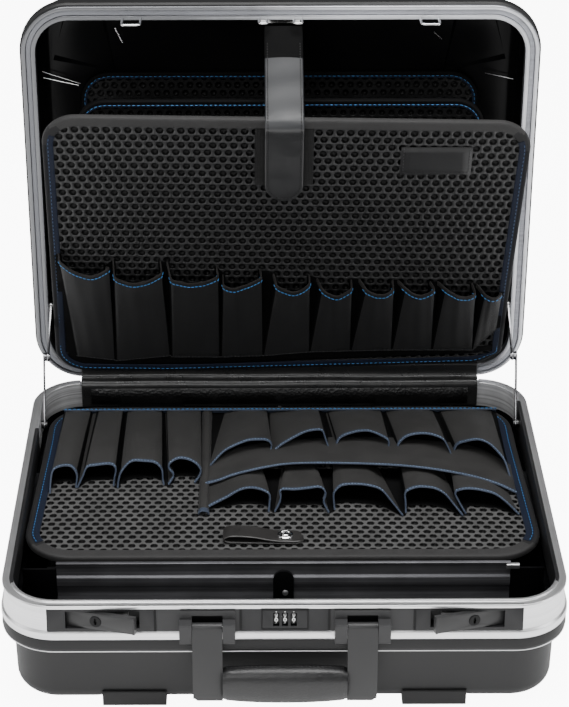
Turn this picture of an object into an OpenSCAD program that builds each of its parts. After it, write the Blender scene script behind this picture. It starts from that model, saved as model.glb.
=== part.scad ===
// Hard tool case, shown open: two moulded shells with aluminium rims on a rear hinge, rocker locks,
// a three-wheel combination lock, a folding handle, two lid stays and pocketed tool boards.
// Millimetres. X runs to the right, Y to the back, Z up. The origin is on the floor under the feet, below
// the middle of the open case's outline.

/* [Case] */
// Outside width of the rims
case_w = 450; // [440:1:470]
// Outside depth of the rims
case_d = 360; // [352:1:370]
// Plan radius of the rim corners
corner_r = 42; // [38:1:46]
// Height of the base rim above the floor
rim_z = 102; // [101:0.5:104]
// Depth of the lid behind its rim plane
lid_depth = 58; // [56:1:64]
// Angle the lid is opened, from closed
lid_open = 91.16; // [88:0.01:95]
// Wall of the moulded shells
wall = 3; // [2.6:0.1:3.2]

/* [Locks and handle] */
// Angle the rocker levers stand open
lever_open = 16; // [8:1:16]
// Distance of the lever pivots from the middle
lever_pivot_x = 158; // [157:0.5:159]
// Radius of the combination wheels
dial_r = 5.6; // [5.2:0.1:5.6]
// Distance between the combination wheels
dial_pitch = 6.9; // [6.6:0.1:7.2]
// Height of the handle pin above the floor
handle_pin_z = 86.5; // [86:0.1:87]

/* [Tool boards] */
// Width of the large front board in the lid
board1_w = 414; // [400:1:416]
// Length of the large front board in the lid
board1_l = 300; // [280:1:306]
// Forward lean of the large front board out of the lid
board1_tilt = 18.7; // [10:0.1:19]
// Width of the two boards behind it
board23_w = 358; // [340:1:370]
// Forward lean of the middle board out of the lid
board2_tilt = 8; // [4:0.1:8.5]
// Width of the board in the base
tray_w = 424; // [400:1:424]

/* [Hidden] */
$fn = 48;
eps = 0.01;
// base frame section: face of the band and its outward step at the foot
band_h = 23;
band_out = 2.4;
flange_out = 4.4;
frame_h = 31;
band_tilt = atan(band_out / band_h);
rim_w = 7;
lid_rim_w = 12;
lid_gap = 0.4;
// shell section
shoulder_bottom = rim_z - 43;
shoulder_top = rim_z - frame_h - 0.4;
floor_z = 4;
floor_t = 5;
bottom_round = 14;
wall_in = 5;
pad_rise = 2.5;
pad_x = 150;
pad_y = 105;
// hinge line
hinge_y = case_d / 2 + 2.8;
hinge_pin_r = 1.3;
knuckle_r = 2.6;
hinge_half = 186;
knuckle_count = 16;
// locks, in the tilted frame of the band
plate_t = 11.3;
plate_n = 1.6;
housing_n = 9.6;
lock_x0 = 103;
lock_x1 = 188;
slot_x0 = 115;
slot_x1 = 173.7;
slot_t0 = -8.4;
slot_t1 = 6.5;
lever_n0 = -3.2;
lever_n1 = 1.4;
lever_pivot_n = -0.9;
lever_pin_r = 1.5;
key_x = 148.6;
key_t = -1;
key_r = 4.4;
catch_x0 = 124;
catch_x1 = 133;
catch_t0 = -0.5;
catch_t1 = 4.5;
fit = 0.05;
centre_x = 34.6;
bezel_x = 17.8;
dial_n = -2.9;
dial_w = 4.3;
dial_shaft_r = 1.2;
// handle
ear_x0 = 39.4;
ear_x1 = 49.2;
ear_x2 = 73.6;
ear_x3 = 83;
handle_pin_y = -188.8;
handle_pin_r = 1.6;
grip_y = -195;
grip_z = 36.5;
grip_a = 10;
grip_b = 16;
arm_foot_z = 21;
// lid stays: pivots from the hinge line, bar lengths and planes
stay_b = [-68, -9];
stay_l = [-75, 3.4];
stay_arm_base = 62;
stay_arm_lid = 56;
stay_r = 4.2;
stay_t = 1.4;
stay_base_x = 214;
stay_lid_x = 210.3;
stay_rivet_r = 2;
// boards
board_t = 5;
board_s = 17.5;
board1_h = 5;
board2_h = 26;
board3_h = 43;
board2_l = 268;
board3_l = 272;
board_bind = 0.7;
pocket_t = 8;
mouth = 2.4;
// front board pockets: left edge, right edge, height of the foot, height of the mouth
board1_pockets = [
    [-195, -155, 6, 129], [-149, -107, 5, 123], [-101, -57, 5, 120], [-51, -16, 6, 111], [-6, 27, 8, 110],
    [33, 64, 10, 104], [71, 101, 12, 103], [106, 136, 12, 101], [142, 172, 12, 99], [177, 197, 22, 92]
];
tray_y0 = -92;
tray_y1 = 156;
tray_z = 82;
tray_bind = 0.8;
// closing strap
strap_foot = 205;
strap_top_y = 186;
strap_top_z = 446;
// dividers
divider_y = -97;
divider_x = 188;
divider_top = 86;

// ---------- helpers ----------

// Points of a quarter arc about (cx, cy), from angle a0 to a1.
function arc(cx, cy, r, a0, a1, n = 8) =
    [for (i = [0:n]) let (a = a0 + (a1 - a0) * i / n) [cx + r * cos(a), cy + r * sin(a)]];

// An outline measured outwards from the rim's outer line, swept round the rounded rectangle.
module ring(points, w = case_w, d = case_d, r = corner_r) {
    for (sx = [-1, 1], sy = [-1, 1])
        translate([sx * (w / 2 - r), sy * (d / 2 - r), 0])
            rotate([0, 0, sx > 0 ? (sy > 0 ? 0 : -90) : (sy > 0 ? 90 : 180)])
                rotate_extrude(angle = 90) polygon([for (p = points) [p[0] + r, p[1]]]);
    for (turn = [0, 180])
        rotate([0, 0, turn]) {
            translate([-(w / 2 - r), 0, 0]) rotate([90, 0, 90])
                linear_extrude(w - 2 * r) polygon([for (p = points) [p[0] + d / 2, p[1]]]);
            translate([0, d / 2 - r, 0]) rotate([90, 0, 0])
                linear_extrude(d - 2 * r) polygon([for (p = points) [p[0] + w / 2, p[1]]]);
        }
}

// Rounded rectangle plate about the middle.
module round_plate(w, d, r, t) {
    linear_extrude(t) union() {
        square([w - 2 * r, d], center = true);
        square([w, d - 2 * r], center = true);
        for (sx = [-1, 1], sy = [-1, 1])
            translate([sx * (w / 2 - r), sy * (d / 2 - r)]) circle(r);
    }
}

// Plate with rounded corners that stands on y = 0 and is centred on x, from z0 to z1.
module board_plate(w, l, r, z0, z1) {
    translate([0, l / 2, z0]) round_plate(w, l, r, z1 - z0);
}

// A (Y, Z) outline drawn along X.
module along_x(points, x0, x1) {
    translate([x0, 0, 0]) rotate([90, 0, 90]) linear_extrude(x1 - x0) polygon(points);
}

// The tilted frame of the front band: x along, -y outwards, z up the band.
module on_band() {
    translate([0, -(case_d / 2 + band_out / 2), rim_z - band_h / 2])
        rotate([-band_tilt, 0, 0]) children();
}

// A block in the band frame, from n0 to n1 outwards and t0 to t1 upwards.
module band_block(x0, x1, n0, n1, t0, t1) {
    translate([x0, -n1, t0]) cube([x1 - x0, n1 - n0, t1 - t0]);
}

// Puts what is drawn for the closed lid into its open place.
module lid_place() {
    translate([0, hinge_y, rim_z]) rotate([-lid_open, 0, 0]) translate([0, -hinge_y, -rim_z]) children();
}

// The frame of a lid board: y up the board, z towards its front, tilted about its foot.
module on_board(h, tilt) {
    lid_place() translate([0, hinge_y - board_s, rim_z + h]) rotate([tilt + 180, 0, 0]) children();
}

module both_sides() {
    children();
    mirror([1, 0, 0]) children();
}

module side(s) {
    if (s > 0) children();
    else mirror([1, 0, 0]) children();
}

// ---------- base shell, frame and feet ----------

module base_shell() {
    zr = floor_z + bottom_round;
    o_low = -wall_in - 0.6;
    o_floor = o_low - bottom_round;
    color([0.22, 0.22, 0.23]) difference() {
        union() {
            ring(concat(
                [[-2.2, rim_z - 2.8], [-2.2, shoulder_top], [3.4, shoulder_top], [4.3, rim_z - 40],
                 [3.4, shoulder_bottom + 0.4], [2.6, shoulder_bottom], [-wall_in, shoulder_bottom]],
                arc(o_floor, zr, bottom_round, 0, -90),
                arc(o_floor, floor_z + floor_t + bottom_round - wall, bottom_round - wall, -90, 0),
                [[-wall_in - wall, shoulder_bottom + 2.6], [1.4, shoulder_bottom + 2.6],
                 [1.2, shoulder_top - 2.6], [-4.8, shoulder_top - 2.6], [-4.8, rim_z - 2.8]]));
            translate([0, 0, floor_z])
                round_plate(case_w + 2 * o_floor, case_d + 2 * o_floor, corner_r + o_floor, floor_t);
        }
        // raised middle of the underside between the corner pads
        translate([0, case_d, 0]) rotate([90, 0, 0]) linear_extrude(2 * case_d)
            polygon([[-pad_x - 2.5, floor_z - 1], [-pad_x, floor_z + pad_rise],
                     [pad_x, floor_z + pad_rise], [pad_x + 2.5, floor_z - 1]]);
        front_cutouts();
    }
}

// Openings through the front for the lock housings.
module front_cutouts() {
    on_band() {
        both_sides() band_block(lock_x0 + 4.8, lock_x1 - 7.8, -14, 8, -10.5, 8.3);
        band_block(-16.2, 16.2, -14, 8, -9.3, 8.3);
    }
}

module base_frame() {
    top = rim_z;
    color([0.8, 0.81, 0.83]) difference() {
        ring([[0, top], [band_out, top - band_h], [4.2, top - 24.5], [flange_out, top - 29.5],
              [4, top - frame_h], [2, top - frame_h], [2.2, top - 25.4], [0.6, top - 23.4],
              [-1.8, top - 2.4], [-5, top - 2.4], [-5, top - 24], [-rim_w, top - 24],
              [-rim_w, top + 1], [-4.2, top + 1], [-3.8, top]]);
        front_cutouts();
        // the rear edge is lower under the hinge cover
        translate([-hinge_half - 0.8, case_d / 2 - 12, top - 1.4]) cube([2 * hinge_half + 1.6, 20, 4]);
    }
}

module feet() {
    zc = floor_z + bottom_round;
    yc = -(case_d / 2 - wall_in - 0.6 - bottom_round);
    color([0.13, 0.13, 0.14])
        for (sy = [0, 1]) mirror([0, sy, 0]) both_sides()
            difference() {
                along_x([[-176.4, 0], [-176.8, 0.6], [-176.8, 13.2], [-176, 14], [-168, 14], [-146, 6.45],
                         [-146, 0.6], [-147, 0]], 95.5, 147.5);
                translate([90, yc, zc]) rotate([0, 90, 0]) cylinder(r = bottom_round + 0.1, h = 62);
                translate([90, yc, floor_z + pad_rise - 0.05]) cube([62, 40, 20]);
            }
}

// ---------- rocker locks ----------

module lock_case(s) {
    color([0.27, 0.27, 0.28]) side(s) on_band() difference() {
        union() {
            band_block(lock_x0, lock_x1, 0, plate_n, -plate_t, plate_t);
            band_block(lock_x0 + 5, lock_x1 - 8, -housing_n, 0.2, -10.4, 8.2);
        }
        band_block(slot_x0, slot_x1, -housing_n + 1.2, plate_n + 1, slot_t0, slot_t1);
        band_block(catch_x0 - fit, catch_x1 + fit, -housing_n - 1, -housing_n + 2,
                   catch_t0 - fit, catch_t1 + fit);
        translate([lever_pivot_x, -lever_pivot_n, -12]) cylinder(r = lever_pin_r, h = 19.6);
    }
}

module lever_pins() {
    color([0.7, 0.7, 0.72]) both_sides() on_band()
        translate([lever_pivot_x, -lever_pivot_n, -10.4]) cylinder(r = lever_pin_r, h = 18);
}

// Turns what is drawn for the closed lever into its open place.
module lever_place() {
    on_band() translate([lever_pivot_x, -lever_pivot_n, 0]) rotate([0, 0, lever_open])
        translate([-lever_pivot_x, lever_pivot_n, 0]) children();
}

module lever(s) {
    color([0.3, 0.3, 0.31]) side(s) lever_place() difference() {
        union() {
            band_block(slot_x0 + 1, slot_x1 - 0.6, lever_n0, lever_n1, slot_t0 + 0.4, slot_t1 - 0.4);
            // finger lip on the free end
            band_block(slot_x0 + 1, slot_x0 + 3, lever_n1 - eps, lever_n1 + 0.5, slot_t0 + 0.4, slot_t1 - 0.4);
        }
        translate([key_x, -lever_n1 - 1, key_t]) rotate([-90, 0, 0]) cylinder(r = key_r + fit, h = 4.4);
        translate([lever_pivot_x, -lever_pivot_n, -12]) cylinder(r = lever_pin_r + fit, h = 24);
    }
}

module key_cylinder(s) {
    color([0.2, 0.2, 0.2]) side(s) lever_place() difference() {
        translate([key_x, -lever_n1 - 0.4, key_t]) rotate([-90, 0, 0]) cylinder(r = key_r, h = 3.7);
        translate([key_x - 0.8, -lever_n1 - 1, key_t - 2.7]) cube([1.6, 2.8, 5.4]);
        translate([key_x, -lever_n1 - 1, key_t]) rotate([-90, 0, 0]) cylinder(r = 1.3, h = 2.8);
    }
}

// Sliding catch behind the lever, drawn back while the lever is open.
module catch(s) {
    color([0.7, 0.7, 0.72]) side(s) on_band()
        band_block(catch_x0, catch_x1, -housing_n + 0.1, -housing_n + 5, catch_t0, catch_t1);
}

// ---------- combination lock ----------

module combination_case() {
    color([0.27, 0.27, 0.28]) on_band() difference() {
        union() {
            band_block(-centre_x, centre_x, 0, plate_n, -plate_t, plate_t - 0.6);
            band_block(-16, 16, -housing_n, 0.2, -9.2, 8.2);
            band_block(-bezel_x, bezel_x, plate_n - eps, plate_n + 0.9, -8.9, 7.9);
        }
        band_block(-12.6, 12.6, -housing_n + 0.8, plate_n - 0.2, -7.4, 6.4);
        for (i = [-1:1]) band_block(i * dial_pitch - 2.4, i * dial_pitch + 2.4, -1, plate_n + 2, -6.4, 5.4);
        translate([-15, -dial_n, -0.5]) rotate([0, 90, 0]) cylinder(r = dial_shaft_r, h = 30);
    }
}

module dial_shaft() {
    color([0.7, 0.7, 0.72]) on_band()
        translate([-15, -dial_n, -0.5]) rotate([0, 90, 0]) cylinder(r = dial_shaft_r, h = 30);
}

module dial(i) {
    color([0.12, 0.12, 0.13]) on_band()
        translate([(i - 2) * dial_pitch - dial_w / 2, -dial_n, -0.5]) rotate([0, 90, 0]) difference() {
            cylinder(r = dial_r, h = dial_w);
            translate([0, 0, -1]) cylinder(r = dial_shaft_r + fit, h = dial_w + 2);
            for (a = [0:36:324]) rotate([0, 0, a + 18]) translate([dial_r, 0, -1])
                cylinder(r = 0.45, h = dial_w + 2, $fn = 16);
        }
}

// ---------- handle ----------

module handle_bracket(s) {
    color([0.25, 0.25, 0.26]) side(s) difference() {
        union() {
            on_band() {
                band_block(centre_x + 0.8, lock_x0 - 0.8, 0, 1.2, -plate_t, plate_t - 0.6);
                band_block(ear_x0, ear_x3, 1.2 - eps, 3, -plate_t, 7.6);
            }
            for (x = [ear_x0, ear_x2])
                along_x([[-183.6, 79.4], [-183.6, 91], [-192.5, 91], [-193.5, 90], [-193.5, 74],
                         [-192.5, 73], [-184.9, 73], [-184.9, 78.2]], x, x + ear_x1 - ear_x0);
        }
        on_band() band_block(ear_x1, ear_x2, 0.6, 5, -9.6, 3.4);
        translate([ear_x0 + 1.4, handle_pin_y, handle_pin_z]) rotate([0, 90, 0])
            cylinder(r = handle_pin_r, h = ear_x3 - ear_x0 - 2.8);
    }
}

module handle_pins() {
    color([0.7, 0.7, 0.72]) both_sides() translate([ear_x0 + 1.4, handle_pin_y, handle_pin_z])
        rotate([0, 90, 0]) cylinder(r = handle_pin_r, h = ear_x3 - ear_x0 - 2.8);
}

module handle_arms() {
    color([0.28, 0.28, 0.29]) both_sides() difference() {
        union() {
            translate([ear_x1 + 0.3, handle_pin_y, handle_pin_z]) rotate([0, 90, 0])
                cylinder(r = 4, h = ear_x2 - ear_x1 - 0.6);
            along_x([[handle_pin_y - 4, handle_pin_z], [handle_pin_y + 0.2, handle_pin_z - 4],
                     [-191, 72], [-193.3, 36], [-193.6, arm_foot_z], [-197.6, arm_foot_z], [-198.6, 27],
                     [-198.4, 44], [-196, 70]], ear_x1 + 0.3, ear_x2 - 0.3);
        }
        translate([ear_x1, handle_pin_y, handle_pin_z]) rotate([0, 90, 0])
            cylinder(r = handle_pin_r + fit, h = ear_x2 - ear_x1);
        // the lower outer corner is clipped
        translate([ear_x2 - 0.3, -200, arm_foot_z]) rotate([0, 45, 0]) cube([5, 10, 5], center = true);
    }
}

module handle_grip() {
    n = 32;
    color([0.18, 0.18, 0.19])
        along_x([for (i = [0:n - 1]) let (a = 360 * i / n)
                 [grip_y + grip_a * sign(cos(a)) * pow(abs(cos(a)), 0.8), grip_z + grip_b * sin(a)]],
                -ear_x1 - 0.3, ear_x1 + 0.3);
}

// ---------- hinge ----------

function knuckle_len() = 2 * hinge_half / knuckle_count;

module knuckles(first) {
    for (i = [first:2:knuckle_count - 1])
        translate([-hinge_half + i * knuckle_len() + 0.2, hinge_y, rim_z]) rotate([0, 90, 0])
            cylinder(r = knuckle_r, h = knuckle_len() - 0.4);
}

module hinge_bore() {
    translate([-hinge_half - 1, hinge_y, rim_z]) rotate([0, 90, 0])
        cylinder(r = hinge_pin_r + fit, h = 2 * hinge_half + 2);
}

module hinge_leaf_base() {
    color([0.68, 0.69, 0.7]) difference() {
        union() {
            knuckles(0);
            for (i = [0:2:knuckle_count - 1])
                translate([-hinge_half + i * knuckle_len() + 0.2, hinge_y, rim_z - 4])
                    translate([0, -0.6, 0]) cube([knuckle_len() - 0.4, 1.2, 3]);
            translate([-hinge_half, hinge_y - 0.6, rim_z - 21]) cube([2 * hinge_half, 1.2, 17.6]);
        }
        hinge_bore();
    }
}

module hinge_leaf_lid() {
    color([0.68, 0.69, 0.7]) lid_place() difference() {
        union() {
            knuckles(1);
            for (i = [1:2:knuckle_count - 1])
                translate([-hinge_half + i * knuckle_len() + 0.2, hinge_y - 0.6, rim_z + 1])
                    cube([knuckle_len() - 0.4, 1.2, 3]);
            translate([-hinge_half, hinge_y - 0.6, rim_z + 3.4]) cube([2 * hinge_half, 1.2, 11]);
        }
        hinge_bore();
    }
}

module hinge_pin() {
    color([0.75, 0.75, 0.77]) translate([-hinge_half, hinge_y, rim_z]) rotate([0, 90, 0])
        cylinder(r = hinge_pin_r, h = 2 * hinge_half);
}

module hinge_cover_base() {
    y0 = case_d / 2 - rim_w;
    color([0.12, 0.12, 0.12])
        along_x([[y0 - 0.9, rim_z - 23.5], [y0 - 0.9, rim_z - 0.9], [y0 + 6.2, rim_z - 0.9],
                 [y0 + 6.2, rim_z - 1.4], [y0, rim_z - 1.4], [y0, rim_z - 23.5]], -hinge_half + 1, hinge_half - 1);
}

module hinge_cover_lid() {
    color([0.12, 0.12, 0.12]) lid_place()
        translate([-hinge_half + 1, hinge_y - 12.5, rim_z - 0.4]) cube([2 * hinge_half - 2, 9, 0.8]);
}

// ---------- base tray ----------

module divider_front() {
    color([0.72, 0.73, 0.75])
        along_x([[divider_y - 1.2, 9.2], [divider_y - 1.2, 44], [divider_y - 2.4, 46], [divider_y - 2.4, 52],
                 [divider_y - 1.2, 54], [divider_y - 1.2, 62], [divider_y - 2.8, 64], [divider_y - 2.8, 72],
                 [divider_y - 1.2, 74], [divider_y - 1.2, 84], [divider_y - 2.2, 85],
                 [divider_y - 2.2, divider_top], [divider_y + 1.2, divider_top], [divider_y + 1.2, 9.2]],
                -divider_x, divider_x);
}

module divider_cross() {
    y0 = divider_y + 1.3;
    color([0.72, 0.73, 0.75])
        along_x([[y0, 9.2], [158, 9.2], [167.2, 14.5], [167.2, tray_z - 0.2], [y0, tray_z - 0.2]], -1.2, 1.2);
}

module divider_clips() {
    color([0.1, 0.1, 0.1]) {
        // clip on the face of the long divider, with a rounded head
        difference() {
            union() {
                translate([-8.5, divider_y - 5.2, 28]) cube([17, 2.3, 44]);
                translate([0, divider_y - 2.9, 71.5]) rotate([90, 0, 0]) cylinder(r = 8.5, h = 2.3);
            }
            translate([-10, divider_y - 6, 80.5]) cube([20, 4, 4]);
        }
        // clip that holds the cross divider at the back wall
        difference() {
            translate([-7, 167.3, 21]) cube([14, 4, 47]);
            translate([-1.3, 166, 20]) cube([2.6, 3, 49]);
        }
    }
}

module divider_brackets() {
    color([0.12, 0.12, 0.12]) both_sides() {
        translate([divider_x, divider_y - 1.2, 20]) cube([28, 2.4, 60]);
        translate([divider_x - 6, divider_y + 1.2, 20]) cube([14, 1.6, 60]);
    }
}

module tray_ledges() {
    color([0.15, 0.15, 0.15]) {
        both_sides() translate([206, -50, 72]) cube([case_w / 2 - rim_w - 206, 100, tray_z - 72.1]);
        both_sides() translate([90, 150, 72]) cube([60, case_d / 2 - rim_w - 151, tray_z - 72.1]);
    }
}

module tray_board() {
    cy = (tray_y0 + tray_y1) / 2;
    d = tray_y1 - tray_y0;
    color([0.2, 0.21, 0.24]) translate([0, cy, tray_z]) union() {
        round_plate(tray_w, d, 40, board_t);
        translate([0, 0, board_t - eps]) difference() {
            round_plate(tray_w, d, 40, tray_bind);
            translate([0, 0, -1]) round_plate(tray_w - 24, d - 24, 28, 4);
        }
    }
}

// A flat pocket from y0 (closed end) to y1 (mouth), with a slot at its mouth.
module pocket(x0, x1, y0, y1, z0, t) {
    s = y1 > y0 ? 1 : -1;
    difference() {
        along_x([[y0, z0], [y0, z0 + 0.35 * t], [y0 + s * 8, z0 + t], [y1 - s * 10, z0 + t], [y1, z0 + 0.75 * t],
                 [y1, z0]], x0, x1);
        translate([x0 + 2, min(y1 + s, y0 + s * 14), z0 + 0.8])
            cube([x1 - x0 - 4, abs(y1 + s - y0 - s * 14), mouth]);
    }
}

// What lies on the tray board is kept inside its binding.
module inside_binding() {
    cy = (tray_y0 + tray_y1) / 2;
    intersection() {
        children();
        translate([0, cy, tray_z]) round_plate(tray_w - 24.8, tray_y1 - tray_y0 - 24.8, 27.6, 30);
    }
}

module tray_pockets_left() {
    xs = [[-202, -178], [-173, -148], [-143, -106], [-103, -75]];
    ys = [38, 35, 32, 32];
    color([0.16, 0.16, 0.17]) inside_binding()
        for (i = [0:3]) pocket(xs[i][0], xs[i][1], 142, ys[i], tray_z + board_t, pocket_t - 1);
}

module tray_pockets_right() {
    upper = [[-60, -8], [-4, 43], [48, 98], [102, 150], [156, 200]];
    lower = [[-60, -12], [-2, 40], [46, 88], [102, 144], [150, 200]];
    ys_u = [80, 86, 88, 86, 80];
    ys_l = [-14, -16, -18, -16, -12];
    color([0.16, 0.16, 0.17]) inside_binding() for (i = [0:4]) {
        pocket(upper[i][0], upper[i][1], 142, ys_u[i], tray_z + board_t, pocket_t - 1);
        pocket(lower[i][0], lower[i][1], 26, ys_l[i], tray_z + board_t, pocket_t - 1);
    }
}

// Padded cross band and upright strip that the tray pockets are sewn to.
module tray_band() {
    z = tray_z + board_t;
    color([0.22, 0.23, 0.26]) {
        translate([-71, -34, z]) cube([8, 178, 4]);
        translate([-60, 30, z]) cube([260, 40, 3]);
    }
}

module pull_loop() {
    z = tray_z + board_t;
    color([0.15, 0.14, 0.14]) translate([0, -74, 0]) difference() {
        along_x([[0, z], [0, z + 7.6], [16, z + 7.6], [16, z]], -50, 17);
        translate([-48, -1, z + 1.5]) cube([42, 18, 4.6]);
        translate([-4, -1, z + 2.2]) cube([24, 18, 8]);
    }
}

module press_stud() {
    z = tray_z + board_t + 2.2;
    color([0.85, 0.86, 0.88]) translate([0, -66, 0]) {
        translate([2, 0, z]) cylinder(r = 5.4, h = 1);
        translate([2, 0, z + 1 - eps]) cylinder(r = 3.4, h = 0.8);
    }
}

// ---------- lid ----------

module lid_shell() {
    top = rim_z + lid_depth;
    zr = top - bottom_round;
    o_low = -wall_in - 0.6;
    o_top = o_low - bottom_round;
    f = rim_z + 3.8;
    color([0.22, 0.22, 0.23]) lid_place() difference() {
        union() {
            ring(concat(
                [[0.8, f], [1.6, f + 2], [1.8, f + 10.4], [1.2, f + 11.6], [0.4, f + 12], [-wall_in, f + 12]],
                arc(o_top, zr, bottom_round, 0, 90),
                arc(o_top, top - floor_t - bottom_round + wall, bottom_round - wall, 90, 0),
                [[-wall_in - wall, f + 9.4], [-1, f + 9.4], [-1.6, f + 2.4], [-9.6, f + 2.4], [-9.6, f]]));
            translate([0, 0, top - floor_t])
                round_plate(case_w + 2 * o_top, case_d + 2 * o_top, corner_r + o_top, floor_t);
        }
        // outside: low cross between the raised corner pads
        lid_cross(top + 1, top - pad_rise, 0);
        // inside: the corners are deeper by nearly the same step
        translate([0, 0, top - floor_t - 1]) difference() {
            round_plate(case_w + 2 * o_top + 2, case_d + 2 * o_top + 2, corner_r + o_top, pad_rise + 0.6);
            cube([2 * pad_x - 6, 2 * case_d, 20], center = true);
            cube([2 * case_w, 2 * pad_y - 6, 20], center = true);
        }
    }
}

// Cross-shaped field on the lid's top between its four corner pads.
module lid_cross(z_out, z_in, g) {
    h = abs(z_out - z_in);
    z = min(z_out, z_in);
    translate([-pad_x, -case_d, z]) cube([2 * pad_x, 2 * case_d, h]);
    translate([-case_w, -pad_y, z]) cube([2 * case_w, 2 * pad_y, h]);
}

module lid_frame() {
    z = rim_z + lid_gap;
    color([0.8, 0.81, 0.83]) lid_place() ring([
        [0, z], [0.8, rim_z + 3.7], [-9.8, rim_z + 3.7], [-10.4, rim_z + 4.3], [-10.4, rim_z + 8],
        [-lid_rim_w, rim_z + 8], [-lid_rim_w, z], [-8, z], [-7.8, z + 1.9], [-3.4, z + 1.9], [-3.2, z]]);
}

// Soft seal in the bottom of the lid's groove.
module lid_seal() {
    z = rim_z + lid_gap + 1.1;
    color([0.3, 0.3, 0.31]) lid_place() difference() {
        ring([[-3.6, z], [-3.6, z + 0.75], [-7.6, z + 0.75], [-7.6, z]]);
        translate([-hinge_half, case_d / 2 - 14, z - 1]) cube([2 * hinge_half, 20, 4]);
    }
}

module hasp(x0, x1, drop) {
    y0 = -(case_d / 2 - 9.7);
    z1 = rim_z + lid_gap;
    translate([0, y0, 0]) difference() {
        translate([x0, 0, z1 - drop]) cube([x1 - x0, 2.2, drop]);
        translate([x0 + 2.2, -1, z1 - drop + 2.2]) cube([x1 - x0 - 4.4, 4.2, drop - 2.2 + eps]);
    }
}

module hasp_loops() {
    color([0.85, 0.86, 0.88]) lid_place() both_sides() {
        hasp(119.5, 137.5, 17.4);
        hasp(10.5, 19.5, 14);
    }
}

module board_spine() {
    color([0.1, 0.1, 0.1]) lid_place()
        translate([-175, hinge_y - 15.5, rim_z + 0.8]) cube([350, 0.6, 46]);
}

// Board with a bound edge: panel between z = -t/2 and t/2 and a thin rim round both faces.
module bound_board(w, l, r, rim) {
    union() {
        board_plate(w, l, r, -board_t / 2, board_t / 2);
        difference() {
            board_plate(w, l, r, -board_t / 2 - board_bind, board_t / 2 + board_bind);
            translate([0, rim, 0]) board_plate(w - 2 * rim, l - 2 * rim, max(4, r - rim),
                                               -board_t, board_t);
        }
    }
}

module board_back() {
    color([0.2, 0.21, 0.24]) on_board(board3_h, 0) bound_board(board23_w, board3_l, 26, 9);
}

module board_middle() {
    color([0.2, 0.21, 0.24]) on_board(board2_h, board2_tilt) bound_board(board23_w, board2_l, 26, 9);
}

module board_front() {
    color([0.26, 0.26, 0.28]) on_board(board1_h, board1_tilt) bound_board(board1_w, board1_l, 30, 10);
}

module board_front_pockets() {
    color([0.14, 0.14, 0.15]) on_board(board1_h, board1_tilt)
        for (p = board1_pockets)
            pocket(p[0], p[1], p[2], p[3], board_t / 2 + board_bind, pocket_t - 0.8);
}

module label_pocket() {
    color([0.35, 0.35, 0.37]) on_board(board1_h, board1_tilt)
        translate([102, 233, board_t / 2 + 0.05]) difference() {
            cube([60, 31, 1.2]);
            translate([2, 2, 0.4]) cube([56, 30, 0.5]);
        }
}

module strap_patch() {
    color([0.08, 0.08, 0.08]) on_board(board1_h, board1_tilt)
        translate([-22, 222, board_t / 2 + 0.05]) cube([49, 62, 1]);
}

module strap_anchor() {
    color([0.7, 0.7, 0.72]) lid_place() translate([-17, -(case_d / 2 - 13.6), rim_z + 9])
        cube([34, 4, 14]);
}

// Leather strap: from its anchor at the lid's front edge down over the front board.
module strap() {
    lean = lid_open - board1_tilt;
    front = board_t / 2 + 1.2;
    foot = [hinge_y + board1_h, rim_z + board_s];
    up = [-cos(lean), sin(lean)];
    out = [-sin(lean), -cos(lean)];
    edge = foot + (board1_l + 0.8) * up;
    low = foot + strap_foot * up;
    top = [strap_top_y, strap_top_z];
    color([0.2, 0.2, 0.21])
        along_x([top, edge + front * out + 2.2 * up, edge + (front + 2) * out, low + (front + 2) * out,
                 low + front * out, edge + front * out - 0.4 * up, edge + (front - 1.6) * out + 0.6 * up,
                 edge - front * out + 0.4 * up, top + [1.4, -1.8]], -13, 18);
}

// ---------- lid stays ----------

function turned(p, a) = [p[0] * cos(a) - p[1] * sin(a), p[0] * sin(a) + p[1] * cos(a)];
stay_l_open = turned(stay_l, -lid_open);
stay_span = norm(stay_l_open - stay_b);
stay_dir = atan2(stay_l_open[1] - stay_b[1], stay_l_open[0] - stay_b[0]);
// the elbow stands on the front side of the line between the two pivots
stay_base_a = stay_dir + acos((pow(stay_arm_base, 2) + pow(stay_span, 2) - pow(stay_arm_lid, 2))
                              / (2 * stay_arm_base * stay_span));
stay_elbow = stay_b + stay_arm_base * [cos(stay_base_a), sin(stay_base_a)];
stay_lid_a = atan2(stay_l_open[1] - stay_elbow[1], stay_l_open[0] - stay_elbow[0]);

// A flat bar with round ends and two holes, along +Y from the origin, thickness along +X.
module bar(length, hole0, hole1) {
    difference() {
        union() {
            for (y = [0, length]) translate([0, y, 0]) rotate([0, 90, 0]) cylinder(r = stay_r, h = stay_t);
            translate([0, 0, -stay_r + 0.7]) cube([stay_t, length, 2 * stay_r - 1.4]);
        }
        translate([-1, 0, 0]) rotate([0, 90, 0]) cylinder(r = hole0, h = 5);
        if (hole1 > 0) translate([-1, length, 0]) rotate([0, 90, 0]) cylinder(r = hole1, h = 5);
    }
}

module at_hinge(p, a) {
    translate([0, hinge_y + p[0], rim_z + p[1]]) rotate([a, 0, 0]) children();
}

module stay_base(s) {
    color([0.8, 0.8, 0.82]) side(s) at_hinge(stay_b, stay_base_a) {
        translate([stay_base_x, 0, 0]) bar(stay_arm_base, stay_rivet_r + fit, 0);
        // elbow rivet: head inside, boss that stops short of the lid bar
        translate([stay_base_x - 1.9, stay_arm_base, 0]) rotate([0, 90, 0])
            cylinder(r = stay_r - 0.4, h = 1.9 + eps);
    }
}

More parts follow.
